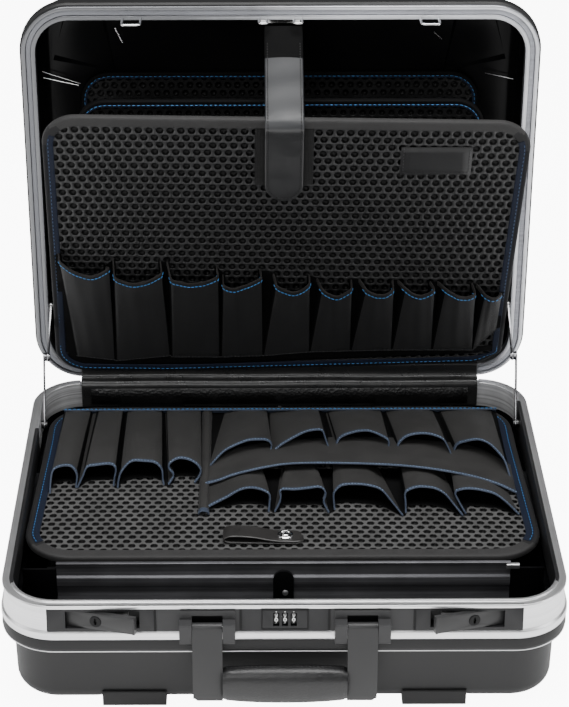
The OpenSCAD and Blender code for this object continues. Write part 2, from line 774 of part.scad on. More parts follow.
module stay_lid(s) {
    color([0.8, 0.8, 0.82]) side(s) at_hinge(stay_elbow, stay_lid_a) {
        translate([stay_lid_x, stay_arm_lid, 0]) mirror([0, 1, 0]) bar(stay_arm_lid, stay_rivet_r + fit, 0);
        translate([stay_lid_x - 1, 0, 0]) rotate([0, 90, 0]) cylinder(r = 3, h = 1 + eps);
    }
}

module stay_rivets_base() {
    color([0.85, 0.86, 0.88]) both_sides() at_hinge(stay_b, 0) {
        translate([stay_base_x - 0.2, 0, 0]) rotate([0, 90, 0]) cylinder(r = stay_rivet_r, h = 4.2);
        translate([stay_base_x - 1.4, 0, 0]) rotate([0, 90, 0]) cylinder(r = 3.2, h = 1.3);
        translate([stay_base_x + stay_t + 0.1, 0, 0]) rotate([0, 90, 0]) cylinder(r = 3.6, h = 2.45);
    }
}

module stay_rivets_lid() {
    color([0.85, 0.86, 0.88]) both_sides() at_hinge(stay_l_open, 0) {
        translate([stay_lid_x - 0.2, 0, 0]) rotate([0, 90, 0]) cylinder(r = stay_rivet_r, h = 2.9);
        translate([stay_lid_x - 1.4, 0, 0]) rotate([0, 90, 0]) cylinder(r = 3.2, h = 1.3);
        translate([stay_lid_x + stay_t + 0.1, 0, 0]) rotate([0, 90, 0]) cylinder(r = 3, h = 1.15);
    }
}

// ---------- the whole case ----------

// depth from the origin of the drawing to the middle of the open case's outline
back_y = hinge_y + lid_depth * sin(lid_open)
    - (hinge_y + case_d / 2 - wall_in - 0.6 - bottom_round) * cos(lid_open);
middle_y = (back_y + grip_y - grip_a) / 2;

// Puts the middle of the open case's outline over the origin.
module placed() {
    translate([0, -middle_y, 0]) children();
}

placed() base_shell();
placed() base_frame();
placed() feet();
placed() lock_case(-1);  // lock_case_left
placed() lock_case(1);  // lock_case_right
placed() lever_pins();
placed() combination_case();
placed() dial_shaft();
placed() handle_bracket(-1);  // handle_bracket_left
placed() handle_bracket(1);  // handle_bracket_right
placed() handle_pins();
placed() hinge_leaf_base();
placed() hinge_pin();
placed() hinge_cover_base();
placed() divider_front();
placed() divider_cross();
placed() divider_clips();
placed() divider_brackets();
placed() tray_ledges();
placed() stay_rivets_base();
placed() lid_shell();
placed() lid_frame();
placed() lid_seal();
placed() hasp_loops();
placed() hinge_leaf_lid();
placed() hinge_cover_lid();
placed() board_spine();
placed() board_back();
placed() strap_anchor();
placed() strap();
placed() stay_rivets_lid();
placed() board_front();
placed() board_front_pockets();
placed() label_pocket();
placed() strap_patch();
placed() board_middle();
placed() tray_board();
placed() tray_pockets_left();
placed() tray_pockets_right();
placed() tray_band();
placed() pull_loop();
placed() press_stud();
placed() handle_arms();
placed() handle_grip();
placed() lever(-1);  // lever_left
placed() lever(1);  // lever_right
placed() key_cylinder(-1);  // key_left
placed() key_cylinder(1);  // key_right
placed() catch(-1);  // catch_left
placed() catch(1);  // catch_right
placed() dial(1);  // dial_1
placed() dial(2);  // dial_2
placed() dial(3);  // dial_3
placed() stay_base(-1);  // stay_base_left
placed() stay_base(1);  // stay_base_right
placed() stay_lid(-1);  // stay_lid_left
placed() stay_lid(1);  // stay_lid_right
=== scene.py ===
"""Hard tool case, shown open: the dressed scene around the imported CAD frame.

Lengths in this file are millimetres, in the frame of the CAD model, unless a name says otherwise.
"""

import logging
import math
from dataclasses import dataclass
from enum import Enum
from functools import lru_cache
from typing import Any, Callable, Iterable, Mapping, Sequence

import bmesh
import bpy
import numpy as np
from mathutils import Matrix


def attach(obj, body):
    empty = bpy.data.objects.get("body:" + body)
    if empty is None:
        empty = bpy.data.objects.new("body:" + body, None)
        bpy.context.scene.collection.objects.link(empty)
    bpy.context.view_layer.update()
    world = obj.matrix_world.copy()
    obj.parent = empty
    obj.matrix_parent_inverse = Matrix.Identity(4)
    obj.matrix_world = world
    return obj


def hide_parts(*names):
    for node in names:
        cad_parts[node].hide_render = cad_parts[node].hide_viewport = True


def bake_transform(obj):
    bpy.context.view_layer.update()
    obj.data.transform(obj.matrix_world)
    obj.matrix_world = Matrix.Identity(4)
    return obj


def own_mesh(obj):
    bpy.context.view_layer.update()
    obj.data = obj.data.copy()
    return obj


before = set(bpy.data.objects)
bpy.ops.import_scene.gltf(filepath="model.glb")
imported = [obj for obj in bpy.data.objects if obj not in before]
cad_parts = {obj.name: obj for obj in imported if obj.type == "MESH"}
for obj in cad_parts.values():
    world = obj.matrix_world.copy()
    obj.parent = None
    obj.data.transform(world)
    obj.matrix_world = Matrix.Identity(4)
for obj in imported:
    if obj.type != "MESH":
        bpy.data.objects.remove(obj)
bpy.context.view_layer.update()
MM = 0.001
LOG = logging.getLogger("case")
Colour = tuple[float, float, float]
Point = tuple[float, float, float]
Pair = tuple[float, float]
Array = np.ndarray
Piece = bpy.types.Object
Socket = bpy.types.NodeSocket
# Corners nearer than this, in metres, are joined.
WELD = 2e-6


class Body(Enum):
    """The moving bodies that pieces ride on."""

    BASE = "base"
    LID = "lid"
    FRONT_BOARD = "front_board"
    MIDDLE_BOARD = "middle_board"
    TRAY = "tray"
    HANDLE = "handle"


class Streak(Enum):
    """Direction of the brush marks on a metal."""

    UV = "uv"
    X = "x"
    Y = "y"
    Z = "z"


@dataclass(frozen=True)
class CaseSize:
    """The rims, the hinge line and the opening of the lid."""

    width: float = 450.0
    depth: float = 360.0
    corner: float = 42.0
    rim_z: float = 102.0
    lid_depth: float = 58.0
    hinge_y: float = 182.8
    lid_open: float = 91.16
    bottom_round: float = 14.0
    floor_t: float = 5.0
    pad_x: float = 150.0
    pad_y: float = 105.0
    pad_rise: float = 2.5

    def lid_matrix(self) -> Matrix:
        """Matrix, in metres, that puts what is drawn for the closed lid into its open place."""
        hinge = Matrix.Translation((0, self.hinge_y * MM, self.rim_z * MM))
        return hinge @ Matrix.Rotation(math.radians(-self.lid_open), 4, "X") @ hinge.inverted()

    def band_matrix(self) -> Matrix:
        """Matrix, in metres, of the leaning front band: x along, -y outwards, z up the band."""
        lean = math.atan(2.4 / 23)
        return (Matrix.Translation((0, -(self.depth / 2 + 1.2) * MM, (self.rim_z - 11.5) * MM))
                @ Matrix.Rotation(-lean, 4, "X"))


CASE = CaseSize()
# The pieces are drawn about the middle of the base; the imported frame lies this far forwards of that.
SHIFT = Matrix.Translation((0, -21.368 * MM, 0))


@dataclass(frozen=True)
class BoardPlace:
    """Where a lid board hangs: its foot behind the rim plane, its lean, and a small roll and side shift."""

    rise: float
    tilt: float
    roll: float = 0.0
    shift: float = 0.0
    foot: float = 17.5

    def matrix(self) -> Matrix:
        """Matrix in metres: x right, y up the board, z towards its front.

        Returns:
            The board's place.
        """
        place = (CASE.lid_matrix() @ Matrix.Translation((0, (CASE.hinge_y - self.foot) * MM,
                                                         (CASE.rim_z + self.rise) * MM))
                 @ Matrix.Rotation(math.radians(self.tilt + 180), 4, "X"))
        middle = Matrix.Translation((0, 0.15, 0))
        return (place @ Matrix.Translation((self.shift * MM, 0, 0)) @ middle
                @ Matrix.Rotation(math.radians(self.roll), 4, "Z") @ middle.inverted())


@dataclass(frozen=True)
class BoardSize:
    """A dimpled foam board with a bound edge."""

    name: str
    width: float
    length: float
    corner: float
    rim: float
    pitch: Pair
    cup: Pair
    foot: float = 0.0
    navy: float = 1.8
    thick: float = 5.0
    proud: float = 0.7


class Graph:
    """Short way to write a node tree."""

    def __init__(self, tree: bpy.types.NodeTree) -> None:
        """Keeps the tree that nodes are added to."""
        self.tree = tree

    def add(self, kind: str, inputs: Mapping[Any, Any] | None = None, **props: Any) -> bpy.types.Node:
        """Adds a node.

        Args:
            kind: Blender's node type.
            inputs: Values or output sockets, by input name or number.
            **props: Properties set before the inputs.

        Returns:
            The new node.
        """
        node = self.tree.nodes.new(kind)
        for key, value in props.items():
            setattr(node, key, value)
        for key, value in (inputs or {}).items():
            socket = node.inputs[key]
            if isinstance(value, Socket):
                self.tree.links.new(value, socket)
            else:
                socket.default_value = value
        return node

    def math(self, operation: str, *values: Any) -> Socket:
        """Result of a math node of the tree's own kind."""
        return self.add("ShaderNodeMath", dict(enumerate(values)), operation=operation).outputs[0]

    def ramp(self, value: Socket, low: float, high: float,
             out_low: float = 0.0, out_high: float = 1.0) -> Socket:
        """Value mapped from low..high to out_low..out_high, clamped."""
        return self.add("ShaderNodeMapRange", {0: value, 1: low, 2: high, 3: out_low, 4: out_high}).outputs[0]


class Shader(Graph):
    """A material's node tree, with the few patterns that the finishes share."""

    def __init__(self, name: str) -> None:
        """Makes an empty material of that name."""
        self.material = bpy.data.materials.new(name)
        self.material.use_nodes = True
        super().__init__(self.material.node_tree)
        self.shader = self.tree.nodes["Principled BSDF"]
        coordinates = self.add("ShaderNodeTexCoord")
        self.object = coordinates.outputs["Object"]
        self.uv = coordinates.outputs["UV"]

    def scaled(self, vector: Socket, factors: Point) -> Socket:
        """Vector multiplied by three factors."""
        return self.add("ShaderNodeVectorMath", {0: vector, 1: factors}, operation="MULTIPLY").outputs[0]

    def noise(self, vector: Socket, scale: float, detail: float = 2.0,
              rough: float = 0.5) -> Socket:
        """Grey noise, its features about 1 / scale metres across."""
        return self.add("ShaderNodeTexNoise", {"Vector": vector, "Scale": scale, "Detail": detail,
                                               "Roughness": rough}).outputs[0]

    def cells(self, vector: Socket, scale: float) -> Socket:
        """Distance to the nearest cell point."""
        return self.add("ShaderNodeTexVoronoi", {"Vector": vector, "Scale": scale}).outputs[0]

    def wave(self, vector: Socket, axis: int, period: float) -> Socket:
        """Sine along one axis of the vector, 0 to 1, with that period in metres."""
        part = self.add("ShaderNodeSeparateXYZ", {0: vector}).outputs[axis]
        sine = self.math("SINE", self.math("MULTIPLY", part, math.tau / period))
        return self.math("MULTIPLY_ADD", sine, 0.5, 0.5)

    def tint(self, factor: Socket, low: Colour, high: Colour) -> None:
        """Base colour between two colours."""
        mix = self.add("ShaderNodeMix", {0: factor, 6: (*low, 1), 7: (*high, 1)}, data_type="RGBA",
                       clamp_factor=False)
        self.tree.links.new(mix.outputs[2], self.shader.inputs["Base Color"])

    def bump(self, height: Socket, depth: float, strength: float = 1.0) -> None:
        """Bump of that depth in millimetres."""
        node = self.add("ShaderNodeBump", {"Height": height, "Distance": depth * MM, "Strength": strength})
        self.tree.links.new(node.outputs[0], self.shader.inputs["Normal"])

    def roughness(self, value: Socket) -> None:
        """Links the roughness."""
        self.tree.links.new(value, self.shader.inputs["Roughness"])

    def fixed(self, **values: Any) -> None:
        """Sets shader inputs that are the same all over; underscores stand for spaces."""
        for key, value in values.items():
            self.shader.inputs[key.replace("_", " ")].default_value = value

    def edges(self) -> Socket:
        """Outer edges, where a finish wears."""
        point = self.add("ShaderNodeNewGeometry").outputs["Pointiness"]
        return self.ramp(point, 0.52, 0.62)


def shade(colour: Colour, factor: float) -> Colour:
    """Colour made lighter or darker."""
    return tuple(min(1.0, c * factor) for c in colour)


@dataclass(frozen=True)
class Finish:
    """A surface finish; material() builds it once."""

    name: str
    colour: Colour
    rough: float = 0.5

    def draw(self, s: Shader) -> None:
        """Fills the shader's nodes."""
        raise NotImplementedError


@dataclass(frozen=True)
class Moulded(Finish):
    """Moulded plastic or rubber with a fine grain and light scuffs."""

    grain: float = 0.5
    depth: float = 0.05
    wear: float = 0.35
    gloss: float = 0.3

    def draw(self, s: Shader) -> None:
        """Fills the nodes of its material."""
        s.fixed(Specular_IOR_Level=self.gloss)
        grain = s.noise(s.object, 1000 / self.grain, 3.0, 0.6)
        cloudy = s.noise(s.object, 22.0, 4.0)
        scuffs = s.ramp(s.noise(s.scaled(s.object, (1.0, 1.0, 5.0)), 70.0, 6.0, 0.7), 0.6, 0.75)
        worn = s.math("MULTIPLY", s.edges(), self.wear)
        marked = s.math("MAXIMUM", worn, s.math("MULTIPLY", scuffs, 0.25))
        s.tint(s.math("ADD", s.math("MULTIPLY", cloudy, 0.25), marked),
               shade(self.colour, 0.9), shade(self.colour, 1.9))
        s.roughness(s.ramp(s.math("ADD", cloudy, s.math("MULTIPLY", scuffs, 0.3)), 0.2, 0.9,
                           self.rough - 0.06, self.rough + 0.1))
        s.bump(grain, self.depth)


@dataclass(frozen=True)
class Metal(Finish):
    """Bare metal with brush marks and faint smudges."""

    streak: Streak = Streak.UV
    depth: float = 0.012
    spread: float = 0.1
    bands: float = 0.1
    # Strength of painted shade towards the left end.
    fade: float = 0.0
    metallic: float = 1.0

    def pattern(self, s: Shader, along: float, across: float) -> Socket:
        """Noise drawn out along the brush marks."""
        factors = {Streak.UV: (along, across, 1.0), Streak.X: (along, across, across),
                   Streak.Y: (across, along, across), Streak.Z: (across, across, along)}[self.streak]
        return s.noise(s.scaled(s.uv if self.streak is Streak.UV else s.object, factors), 1.0, 3.0, 0.6)

    def draw(self, s: Shader) -> None:
        """Fills the nodes of its material."""
        lines, broad = self.pattern(s, 14.0, 2600.0), self.pattern(s, 3.0, 420.0)
        smudge = s.noise(s.object, 30.0, 5.0, 0.6)
        s.fixed(Metallic=self.metallic)
        tone = s.math("ADD", s.math("MULTIPLY_ADD", broad, 1.6, s.math("MULTIPLY", lines, 0.7)),
                      s.math("MULTIPLY", smudge, 0.7))
        # Painted shade: the tone falls from x 0.05 m towards x -0.2 m, darker towards the left end.
        if self.fade:
            side = s.add("ShaderNodeSeparateXYZ", {0: s.object}).outputs[0]
            tone = s.math("SUBTRACT", tone, s.ramp(side, 0.05, -0.2, 0.0, self.fade))
        s.tint(s.ramp(tone, 0.9, 2.1), shade(self.colour, 1 - 2.2 * self.bands), shade(self.colour, 1 + self.bands))
        s.roughness(s.ramp(s.math("MULTIPLY_ADD", smudge, 0.6, lines), 0.4, 1.2,
                           self.rough, self.rough + self.spread))
        s.bump(lines, self.depth)


@dataclass(frozen=True)
class Woven(Finish):
    """Cloth with a plain weave on its UV map, in metres."""

    thread: float = 0.75
    depth: float = 0.12
    sheen: float = 0.04
    contrast: float = 1.5
    gloss: float = 0.25

    def draw(self, s: Shader) -> None:
        """Fills the nodes of its material."""
        warp = s.wave(s.uv, 0, self.thread * MM)
        weft = s.wave(s.uv, 1, self.thread * MM)
        over = s.math("MULTIPLY", warp, weft)
        slubs = s.noise(s.scaled(s.uv, (250.0, 1600.0, 1.0)), 1.0, 3.0)
        dust = s.noise(s.object, 45.0, 5.0, 0.65)
        s.tint(s.ramp(s.math("ADD", s.math("MULTIPLY_ADD", over, 0.5, slubs), dust), 0.6, 1.7),
               shade(self.colour, 0.75), shade(self.colour, self.contrast))
        s.roughness(s.ramp(dust, 0.3, 0.8, self.rough - 0.05, self.rough + 0.08))
        s.fixed(Sheen_Weight=self.sheen, Sheen_Roughness=0.5, Specular_IOR_Level=self.gloss)
        s.bump(s.math("MULTIPLY_ADD", slubs, 0.4, over), self.depth)


@dataclass(frozen=True)
class Leather(Finish):
    """Leather or leatherette: cell grain over soft creases."""

    grain: float = 1.2
    depth: float = 0.12
    crease: float = 0.3

    def draw(self, s: Shader) -> None:
        """Fills the nodes of its material."""
        cell = s.cells(s.object, 1000 / self.grain)
        fine = s.noise(s.object, 3000 / self.grain, 2.0)
        crease = s.noise(s.scaled(s.object, (1.0, 2.2, 1.0)), 60.0, 5.0, 0.6)
        height = s.math("ADD", s.math("MULTIPLY_ADD", fine, 0.3, cell), s.math("MULTIPLY", crease, self.crease * 4))
        worn = s.math("MULTIPLY", s.edges(), 0.4)
        s.tint(s.math("ADD", s.math("MULTIPLY", crease, 0.5), worn), shade(self.colour, 0.8), shade(self.colour, 1.7))
        s.roughness(s.ramp(crease, 0.3, 0.7, self.rough - 0.07, self.rough + 0.08))
        s.bump(height, self.depth)


@dataclass(frozen=True)
class Foam(Finish):
    """Pressed foam with a smooth rubbery skin."""

    gloss: float = 0.3
    # Strength of painted light: lighter higher up the board and towards its sides.
    lit: float = 0.0

    def draw(self, s: Shader) -> None:
        """Fills the nodes of its material."""
        skin = s.noise(s.object, 1500.0, 3.0, 0.6)
        dust = s.noise(s.object, 35.0, 6.0, 0.65)
        tone = s.ramp(dust, 0.35, 0.7)
        # Painted light: the tone rises with height from 0.2 to 0.36 m and with distance from the middle from 0.04 to
        # 0.2 m, for light caught on the cups' lower walls.
        if self.lit:
            x, _, z = s.add("ShaderNodeSeparateXYZ", {0: s.object}).outputs
            height, side = s.ramp(z, 0.2, 0.36), s.ramp(s.math("ABSOLUTE", x), 0.04, 0.2)
            tone = s.math("MULTIPLY_ADD", s.math("MULTIPLY", height, side), self.lit, tone)
        s.tint(tone, shade(self.colour, 0.85), shade(self.colour, 1.25))
        s.roughness(s.ramp(dust, 0.3, 0.7, self.rough - 0.05, self.rough + 0.08))
        s.fixed(Specular_IOR_Level=self.gloss)
        s.bump(skin, 0.05)


@dataclass(frozen=True)
class Plain(Finish):
    """Thread and printed marks: nearly even, slightly uneven in tone."""

    twist: float = 0.35

    def draw(self, s: Shader) -> None:
        """Fills the nodes of its material."""
        turn = s.noise(s.object, 1000 / self.twist, 2.0)
        s.tint(turn, shade(self.colour, 0.6), shade(self.colour, 1.5))
        s.fixed(Roughness=self.rough)
        s.bump(turn, 0.03)


@lru_cache(maxsize=None)
def material(finish: Finish) -> bpy.types.Material:
    """The finish's material, built once."""
    shader = Shader(finish.name)
    finish.draw(shader)
    return shader.material


SHELL_OUT = Moulded("shell_textured", (0.013, 0.013, 0.0135), 0.45, grain=0.55, depth=0.06)
SHELL_IN = Moulded("shell_inside", (0.0042, 0.0042, 0.0046), 0.2, grain=2.0, depth=0.006, wear=0.1, gloss=0.13)
ALUMINIUM = Metal("aluminium_rim", (0.87, 0.87, 0.88), 0.33, bands=0.09)
LID_ALUMINIUM = Metal("aluminium_lid_rim", (0.66, 0.67, 0.7), 0.28, bands=0.33, fade=1.5)
# Lit and shaded copies of the rim's aluminium for the inner web: painted light at the back, painted shade at the
# front and sides.
WEB_LIT = Metal("aluminium_web", (0.7, 0.7, 0.71), 0.35, bands=0.35, metallic=0.55)
WEB_SHADE = Metal("web_side", (0.045, 0.045, 0.047), 0.3, bands=0.3, metallic=0.6)
ALU_X = Metal("hinge_aluminium", (0.5, 0.5, 0.52), 0.3, streak=Streak.X)
PROFILE = Metal("divider_aluminium", (0.23, 0.23, 0.245), 0.52, streak=Streak.X, bands=0.3)
STEEL = Metal("bright_steel", (0.7, 0.7, 0.7), 0.16, streak=Streak.Z, depth=0.004)
GREY_STEEL = Metal("stay_steel", (0.3, 0.3, 0.31), 0.2, streak=Streak.Z, depth=0.004)
DARK_STEEL = Metal("dark_steel", (0.07, 0.07, 0.07), 0.25, streak=Streak.Z, depth=0.004)
CHROME = Metal("chrome", (0.9, 0.9, 0.91), 0.07, streak=Streak.X, depth=0.002, spread=0.05)
LOCK = Moulded("lock_plate", (0.0155, 0.0155, 0.0165), 0.45, grain=0.4, depth=0.02)
LEVER = Moulded("lever_metal", (0.0215, 0.0215, 0.022), 0.4, grain=0.5, depth=0.015, gloss=0.4)
# Lighter copy of the lock plate's finish: painted light on the handle brackets.
BRACKET_LIT = Moulded("bracket_plate", (0.0235, 0.0235, 0.0243), 0.42, grain=0.5, depth=0.02)
HANDLE_METAL = Moulded("handle_plate", (0.018, 0.018, 0.0186), 0.4, grain=0.8, depth=0.03, gloss=0.4)
BLACK = Moulded("black_plastic", (0.002, 0.002, 0.0023), 0.35, grain=0.8, depth=0.02, gloss=0.2)
RUBBER = Moulded("rubber", (0.0115, 0.0115, 0.0118), 0.5, grain=0.7, depth=0.04)
SEAL = Metal("seal", (0.4, 0.41, 0.45), 0.5, streak=Streak.X, bands=0.2, fade=1.0, metallic=0.0)
DRUM = Moulded("dial_drum", (0.004, 0.004, 0.004), 0.35, grain=0.4, depth=0.01)
FOAM = Foam("board_foam", (0.021, 0.021, 0.0215), 0.4, 0.35)
FOAM_TRAY = Foam("tray_foam", (0.066, 0.0655, 0.065), 0.4, 0.35)
FOAM_DARK = Foam("board_foam_dark", (0.007, 0.007, 0.0072), 0.42, 0.25)
# Near-black finish of the dimples' deeper faces: painted shade in the cup bottoms.
CUP_SHADE = Foam("foam_cup", (0.0012, 0.0012, 0.0012), 0.4, 0.15, lit=15.0)
TAPE = Woven("edge_tape", (0.023, 0.0225, 0.0225), 0.6, thread=0.9, depth=0.08)
# The next two darker copies of the edge tape are painted shade on the bindings below their lit top edge; the darkest
# also serves the boards' spine.
TAPE_DARK = Woven("edge_tape_dark", (0.0035, 0.0037, 0.005), 0.65, thread=0.9, depth=0.08, gloss=0.15)
# Near-black copy of the edge tape for the back and middle boards: painted shade down in the lid.
TAPE_FAR_SHADE = Woven("edge_tape_black", (0.0014, 0.0014, 0.0016), 0.65, thread=0.9, depth=0.08, sheen=0.0, gloss=0.08)
TAPE_SIDE_SHADE = Woven("edge_tape_side", (0.0095, 0.0095, 0.0102), 0.62, thread=0.9, depth=0.08, gloss=0.2)
PIPING = Woven("navy_piping", (0.0042, 0.0072, 0.0175), 0.6, thread=0.8, depth=0.08, gloss=0.15)
HEM = Woven("slate_hem", (0.026, 0.036, 0.058), 0.6, thread=0.7, depth=0.1)
HEM_BROWN = Woven("pocket_hem", (0.008, 0.007, 0.0066), 0.6, thread=0.8, depth=0.1)
CLOTH = Woven("pocket_cloth", (0.017, 0.0165, 0.016), 0.5, thread=0.8, depth=0.14, contrast=1.8)
CLOTH_DARK = Woven("front_pocket_cloth", (0.0078, 0.0078, 0.008), 0.5, thread=0.9, depth=0.16, contrast=2.0)
# Near-black cloth: painted shade on the pockets' side walls and undersides and in the sheets under and between them;
# also the black hem at the strap's top.
SHADE_AND_HEM_CLOTH = Woven("gusset_cloth", (0.002, 0.002, 0.0021), 0.7, thread=0.9, depth=0.1, sheen=0.0, gloss=0.08)
PATCH = Woven("hook_patch", (0.003, 0.003, 0.003), 0.85, thread=1.3, depth=0.3)
LABEL = Woven("label_pocket", (0.014, 0.014, 0.0145), 0.35, thread=1.0, depth=0.05)
STRAP = Leather("strap_leather", (0.022, 0.0222, 0.023), 0.36, grain=0.8, depth=0.05, crease=0.15)
STRAP_TOP = Leather("strap_leather_top", (0.0175, 0.0185, 0.0205), 0.42, grain=0.8, depth=0.05, crease=0.15)
LOOP = Leather("loop_leather", (0.016, 0.015, 0.0145), 0.45, grain=0.9, depth=0.08)
GRIP = Leather("grip_leather", (0.008, 0.008, 0.0085), 0.38, grain=1.4, depth=0.12, crease=0.4)
COVER = Leather("hinge_leatherette", (0.013, 0.013, 0.013), 0.3, grain=1.7, depth=0.06, crease=0.04)
PANEL = Leather("hinge_panel", (0.002, 0.002, 0.002), 0.4, grain=2.6, depth=0.4, crease=0.1)
BLUE = Plain("blue_thread", (0.03, 0.17, 0.4), 0.45)
NAVY_THREAD = Plain("navy_thread", (0.014, 0.045, 0.11), 0.45)
PALE_BLUE = Plain("pale_blue_thread", (0.17, 0.25, 0.36), 0.5)
DARK_THREAD = Plain("dark_thread", (0.016, 0.016, 0.017), 0.5)
BLACK_THREAD = Plain("black_thread", (0.003, 0.003, 0.003), 0.6)
WHITE = Plain("white_print", (0.8, 0.8, 0.8), 0.5, twist=2.0)


class MeshData:
    """Collects vertices in millimetres, faces, materials and UVs in metres."""

    def __init__(self) -> None:
        """Starts with nothing."""
        self.verts: list[Array] = []
        self.faces: list[tuple[int, ...]] = []
        self.slots: list[int] = []
        self.uvs: list[Pair] = []
        self.count = 0

    def part(self, verts: Sequence[Point], faces: Iterable[Sequence[int]], slot: int = 0) -> None:
        """Adds a part that needs no map.

        Args:
            verts: Points of the part.
            faces: Vertex numbers of each face.
            slot: Material slot.
        """
        for face in faces:
            self.faces.append(tuple(i + self.count for i in face))
            self.slots.append(slot)
            self.uvs += [(0.0, 0.0)] * len(face)
        self.verts.append(np.asarray(verts, float))
        self.count += len(verts)

    def sweep(self, rings: Array, closed: bool, slot: int | Sequence[int] = 0, cap: bool = True,
              open_section: bool = False) -> None:
        """Joins cross-sections into a skin.

        Args:
            rings: Array (stations, points, 3).
            closed: Whether the last station joins the first.
            slot: Material slot, or one for each segment of the section.
            cap: Whether the two ends get flat faces.
            open_section: Whether the section's last point stays apart from its first.
        """
        m, n, _ = rings.shape
        along = np.zeros(m + 1)
        steps = np.linalg.norm(np.roll(rings, -1, 0) - rings, axis=2).mean(1)
        along[1:] = np.cumsum(steps)
        around = np.zeros(n + 1)
        around[1:] = np.cumsum(np.linalg.norm(np.roll(rings[0], -1, 0) - rings[0], axis=1))
        base = self.count
        for i in range(m if closed else m - 1):
            for j in range(n - 1 if open_section else n):
                i2, j2 = (i + 1) % m, (j + 1) % n
                self.faces.append((base + i * n + j, base + i2 * n + j, base + i2 * n + j2, base + i * n + j2))
                self.slots.append(slot if isinstance(slot, int) else slot[j])
                self.uvs.extend(((along[i] * MM, around[j] * MM), (along[i + 1] * MM, around[j] * MM),
                                 (along[i + 1] * MM, around[j + 1] * MM), (along[i] * MM, around[j + 1] * MM)))
        if cap and not closed:
            for i, order in ((0, range(n - 1, -1, -1)), (m - 1, range(n))):
                self.cap([base + i * n + j for j in order], rings[i], slot if isinstance(slot, int) else slot[0])
        if open_section and closed:
            for j in (0, n - 1):
                order = [i * n + j for i in range(m)]
                self.cap([base + k for k in order], rings[:, j], slot if isinstance(slot, int)
                    else slot[min(j, n - 2)])
        self.verts.append(rings.reshape(-1, 3))
        self.count += m * n

    def cap(self, face: Sequence[int], points: Array, slot: int) -> None:
        """Adds one flat face with a plain map."""
        self.faces.append(tuple(face))
        self.slots.append(slot)
        self.uvs.extend((float(p[0]) * MM, float(p[1] + p[2]) * MM) for p in points)

    def sheet(self, grid: Array, above: float, below: float, slot: int | Sequence[int] = 0,
              under: int | None = None) -> float:
        """Thickens a grid of points into a closed sheet with rounded edges.

        Args:
            grid: Array (rows, columns, 3).
            above: Thickness on the side of the grid's normal.
            below: Thickness on the other side.
            slot: Material slot, or one for each strip between two columns.
            under: Material slot of the other side.

        Returns:
            The sheet's flat area in square millimetres.
        """
        m, n, _ = grid.shape
        du, dv = np.gradient(grid, axis=1), np.gradient(grid, axis=0)
        normal = unit(np.cross(du, dv))
        du, dv = unit(du), unit(dv)
        push = np.zeros_like(grid)
        push[0] -= dv[0]
        push[-1] += dv[-1]
        push[:, 0] -= du[:, 0]
        push[:, -1] += du[:, -1]
        middle = grid + normal * (above - below) / 2 + unit(push) * (above + below) * 0.42
        ring = ([(0, j) for j in range(n)] + [(i, n - 1) for i in range(1, m)]
                + [(m - 1, j) for j in range(n - 2, -1, -1)] + [(i, 0) for i in range(m - 2, 0, -1)])
        u, v = np.zeros((m, n)), np.zeros((m, n))
        u[:, 1:] = np.cumsum(np.linalg.norm(np.diff(grid, axis=1), axis=2), axis=1)
        u -= u.mean(1, keepdims=True)
        v[1:] = np.cumsum(np.linalg.norm(np.diff(grid, axis=0), axis=2), axis=0)
        flat = np.stack([u, v], 2).reshape(-1, 2)
        maps = np.concatenate([flat, flat, np.array([(u[i, j], v[i, j] + 0.4) for i, j in ring])])
        columns = [slot] * (n - 1) if isinstance(slot, int) else list(slot)
        size, k = m * n, len(ring)
        faces, slots = [], []
        for i in range(m - 1):
            for j in range(n - 1):
                quad = (i * n + j, i * n + j + 1, (i + 1) * n + j + 1, (i + 1) * n + j)
                faces += [quad, tuple(size + a for a in quad[::-1])]
                slots += [columns[j], columns[j] if under is None else under]
        for a in range(k):
            b = (a + 1) % k
            ta, tb = ring[a][0] * n + ring[a][1], ring[b][0] * n + ring[b][1]
            faces += [(tb, ta, 2 * size + a, 2 * size + b), (2 * size + b, 2 * size + a, size + ta, size + tb)]
            slots += [columns[min(ring[a][1], n - 2)]] * 2
        for face, s in zip(faces, slots):
            self.faces.append(tuple(a + self.count for a in face))
            self.slots.append(s)
            self.uvs.extend(tuple(maps[a] * MM) for a in face)
        self.verts += [(grid + normal * above).reshape(-1, 3), (grid - normal * below).reshape(-1, 3),
                       np.array([middle[i, j] for i, j in ring])]
        self.count += 2 * size + k
        cross = np.cross(grid[1:, 1:] - grid[:-1, :-1], grid[1:, :-1] - grid[:-1, 1:])
        return float(np.linalg.norm(cross, axis=2).sum() / 2)

    def build(self, name: str, finishes: Sequence[Finish], smooth: float = 35.0) -> Piece:
        """Makes the object.

        Args:
            name: The object's name.
            finishes: Finish of each material slot.
            smooth: Edges sharper than this many degrees stay sharp.

        Returns:
            The new object, in the scene.
        """
        mesh = bpy.data.meshes.new(name)
        mesh.from_pydata((np.concatenate(self.verts) * MM).tolist(), [], self.faces)
        layer = mesh.uv_layers.new(name="UVMap")
        layer.data.foreach_set("uv", np.array(self.uvs, np.float32).ravel())
        mesh.polygons.foreach_set("material_index", np.array(self.slots, np.int32))
        for finish in finishes:
            mesh.materials.append(material(finish))
        mesh.validate()
        outward(mesh)
        crisp(mesh, smooth)
        return linked(name, mesh)


def linked(name: str, data: Any) -> Piece:
    """A new object in the scene."""
    piece = bpy.data.objects.new(name, data)
    bpy.context.scene.collection.objects.link(piece)
    return piece


def unit(v: Array) -> Array:
    """Vectors of length one along the last axis."""
    return v / np.maximum(np.linalg.norm(v, axis=-1, keepdims=True), 1e-9)


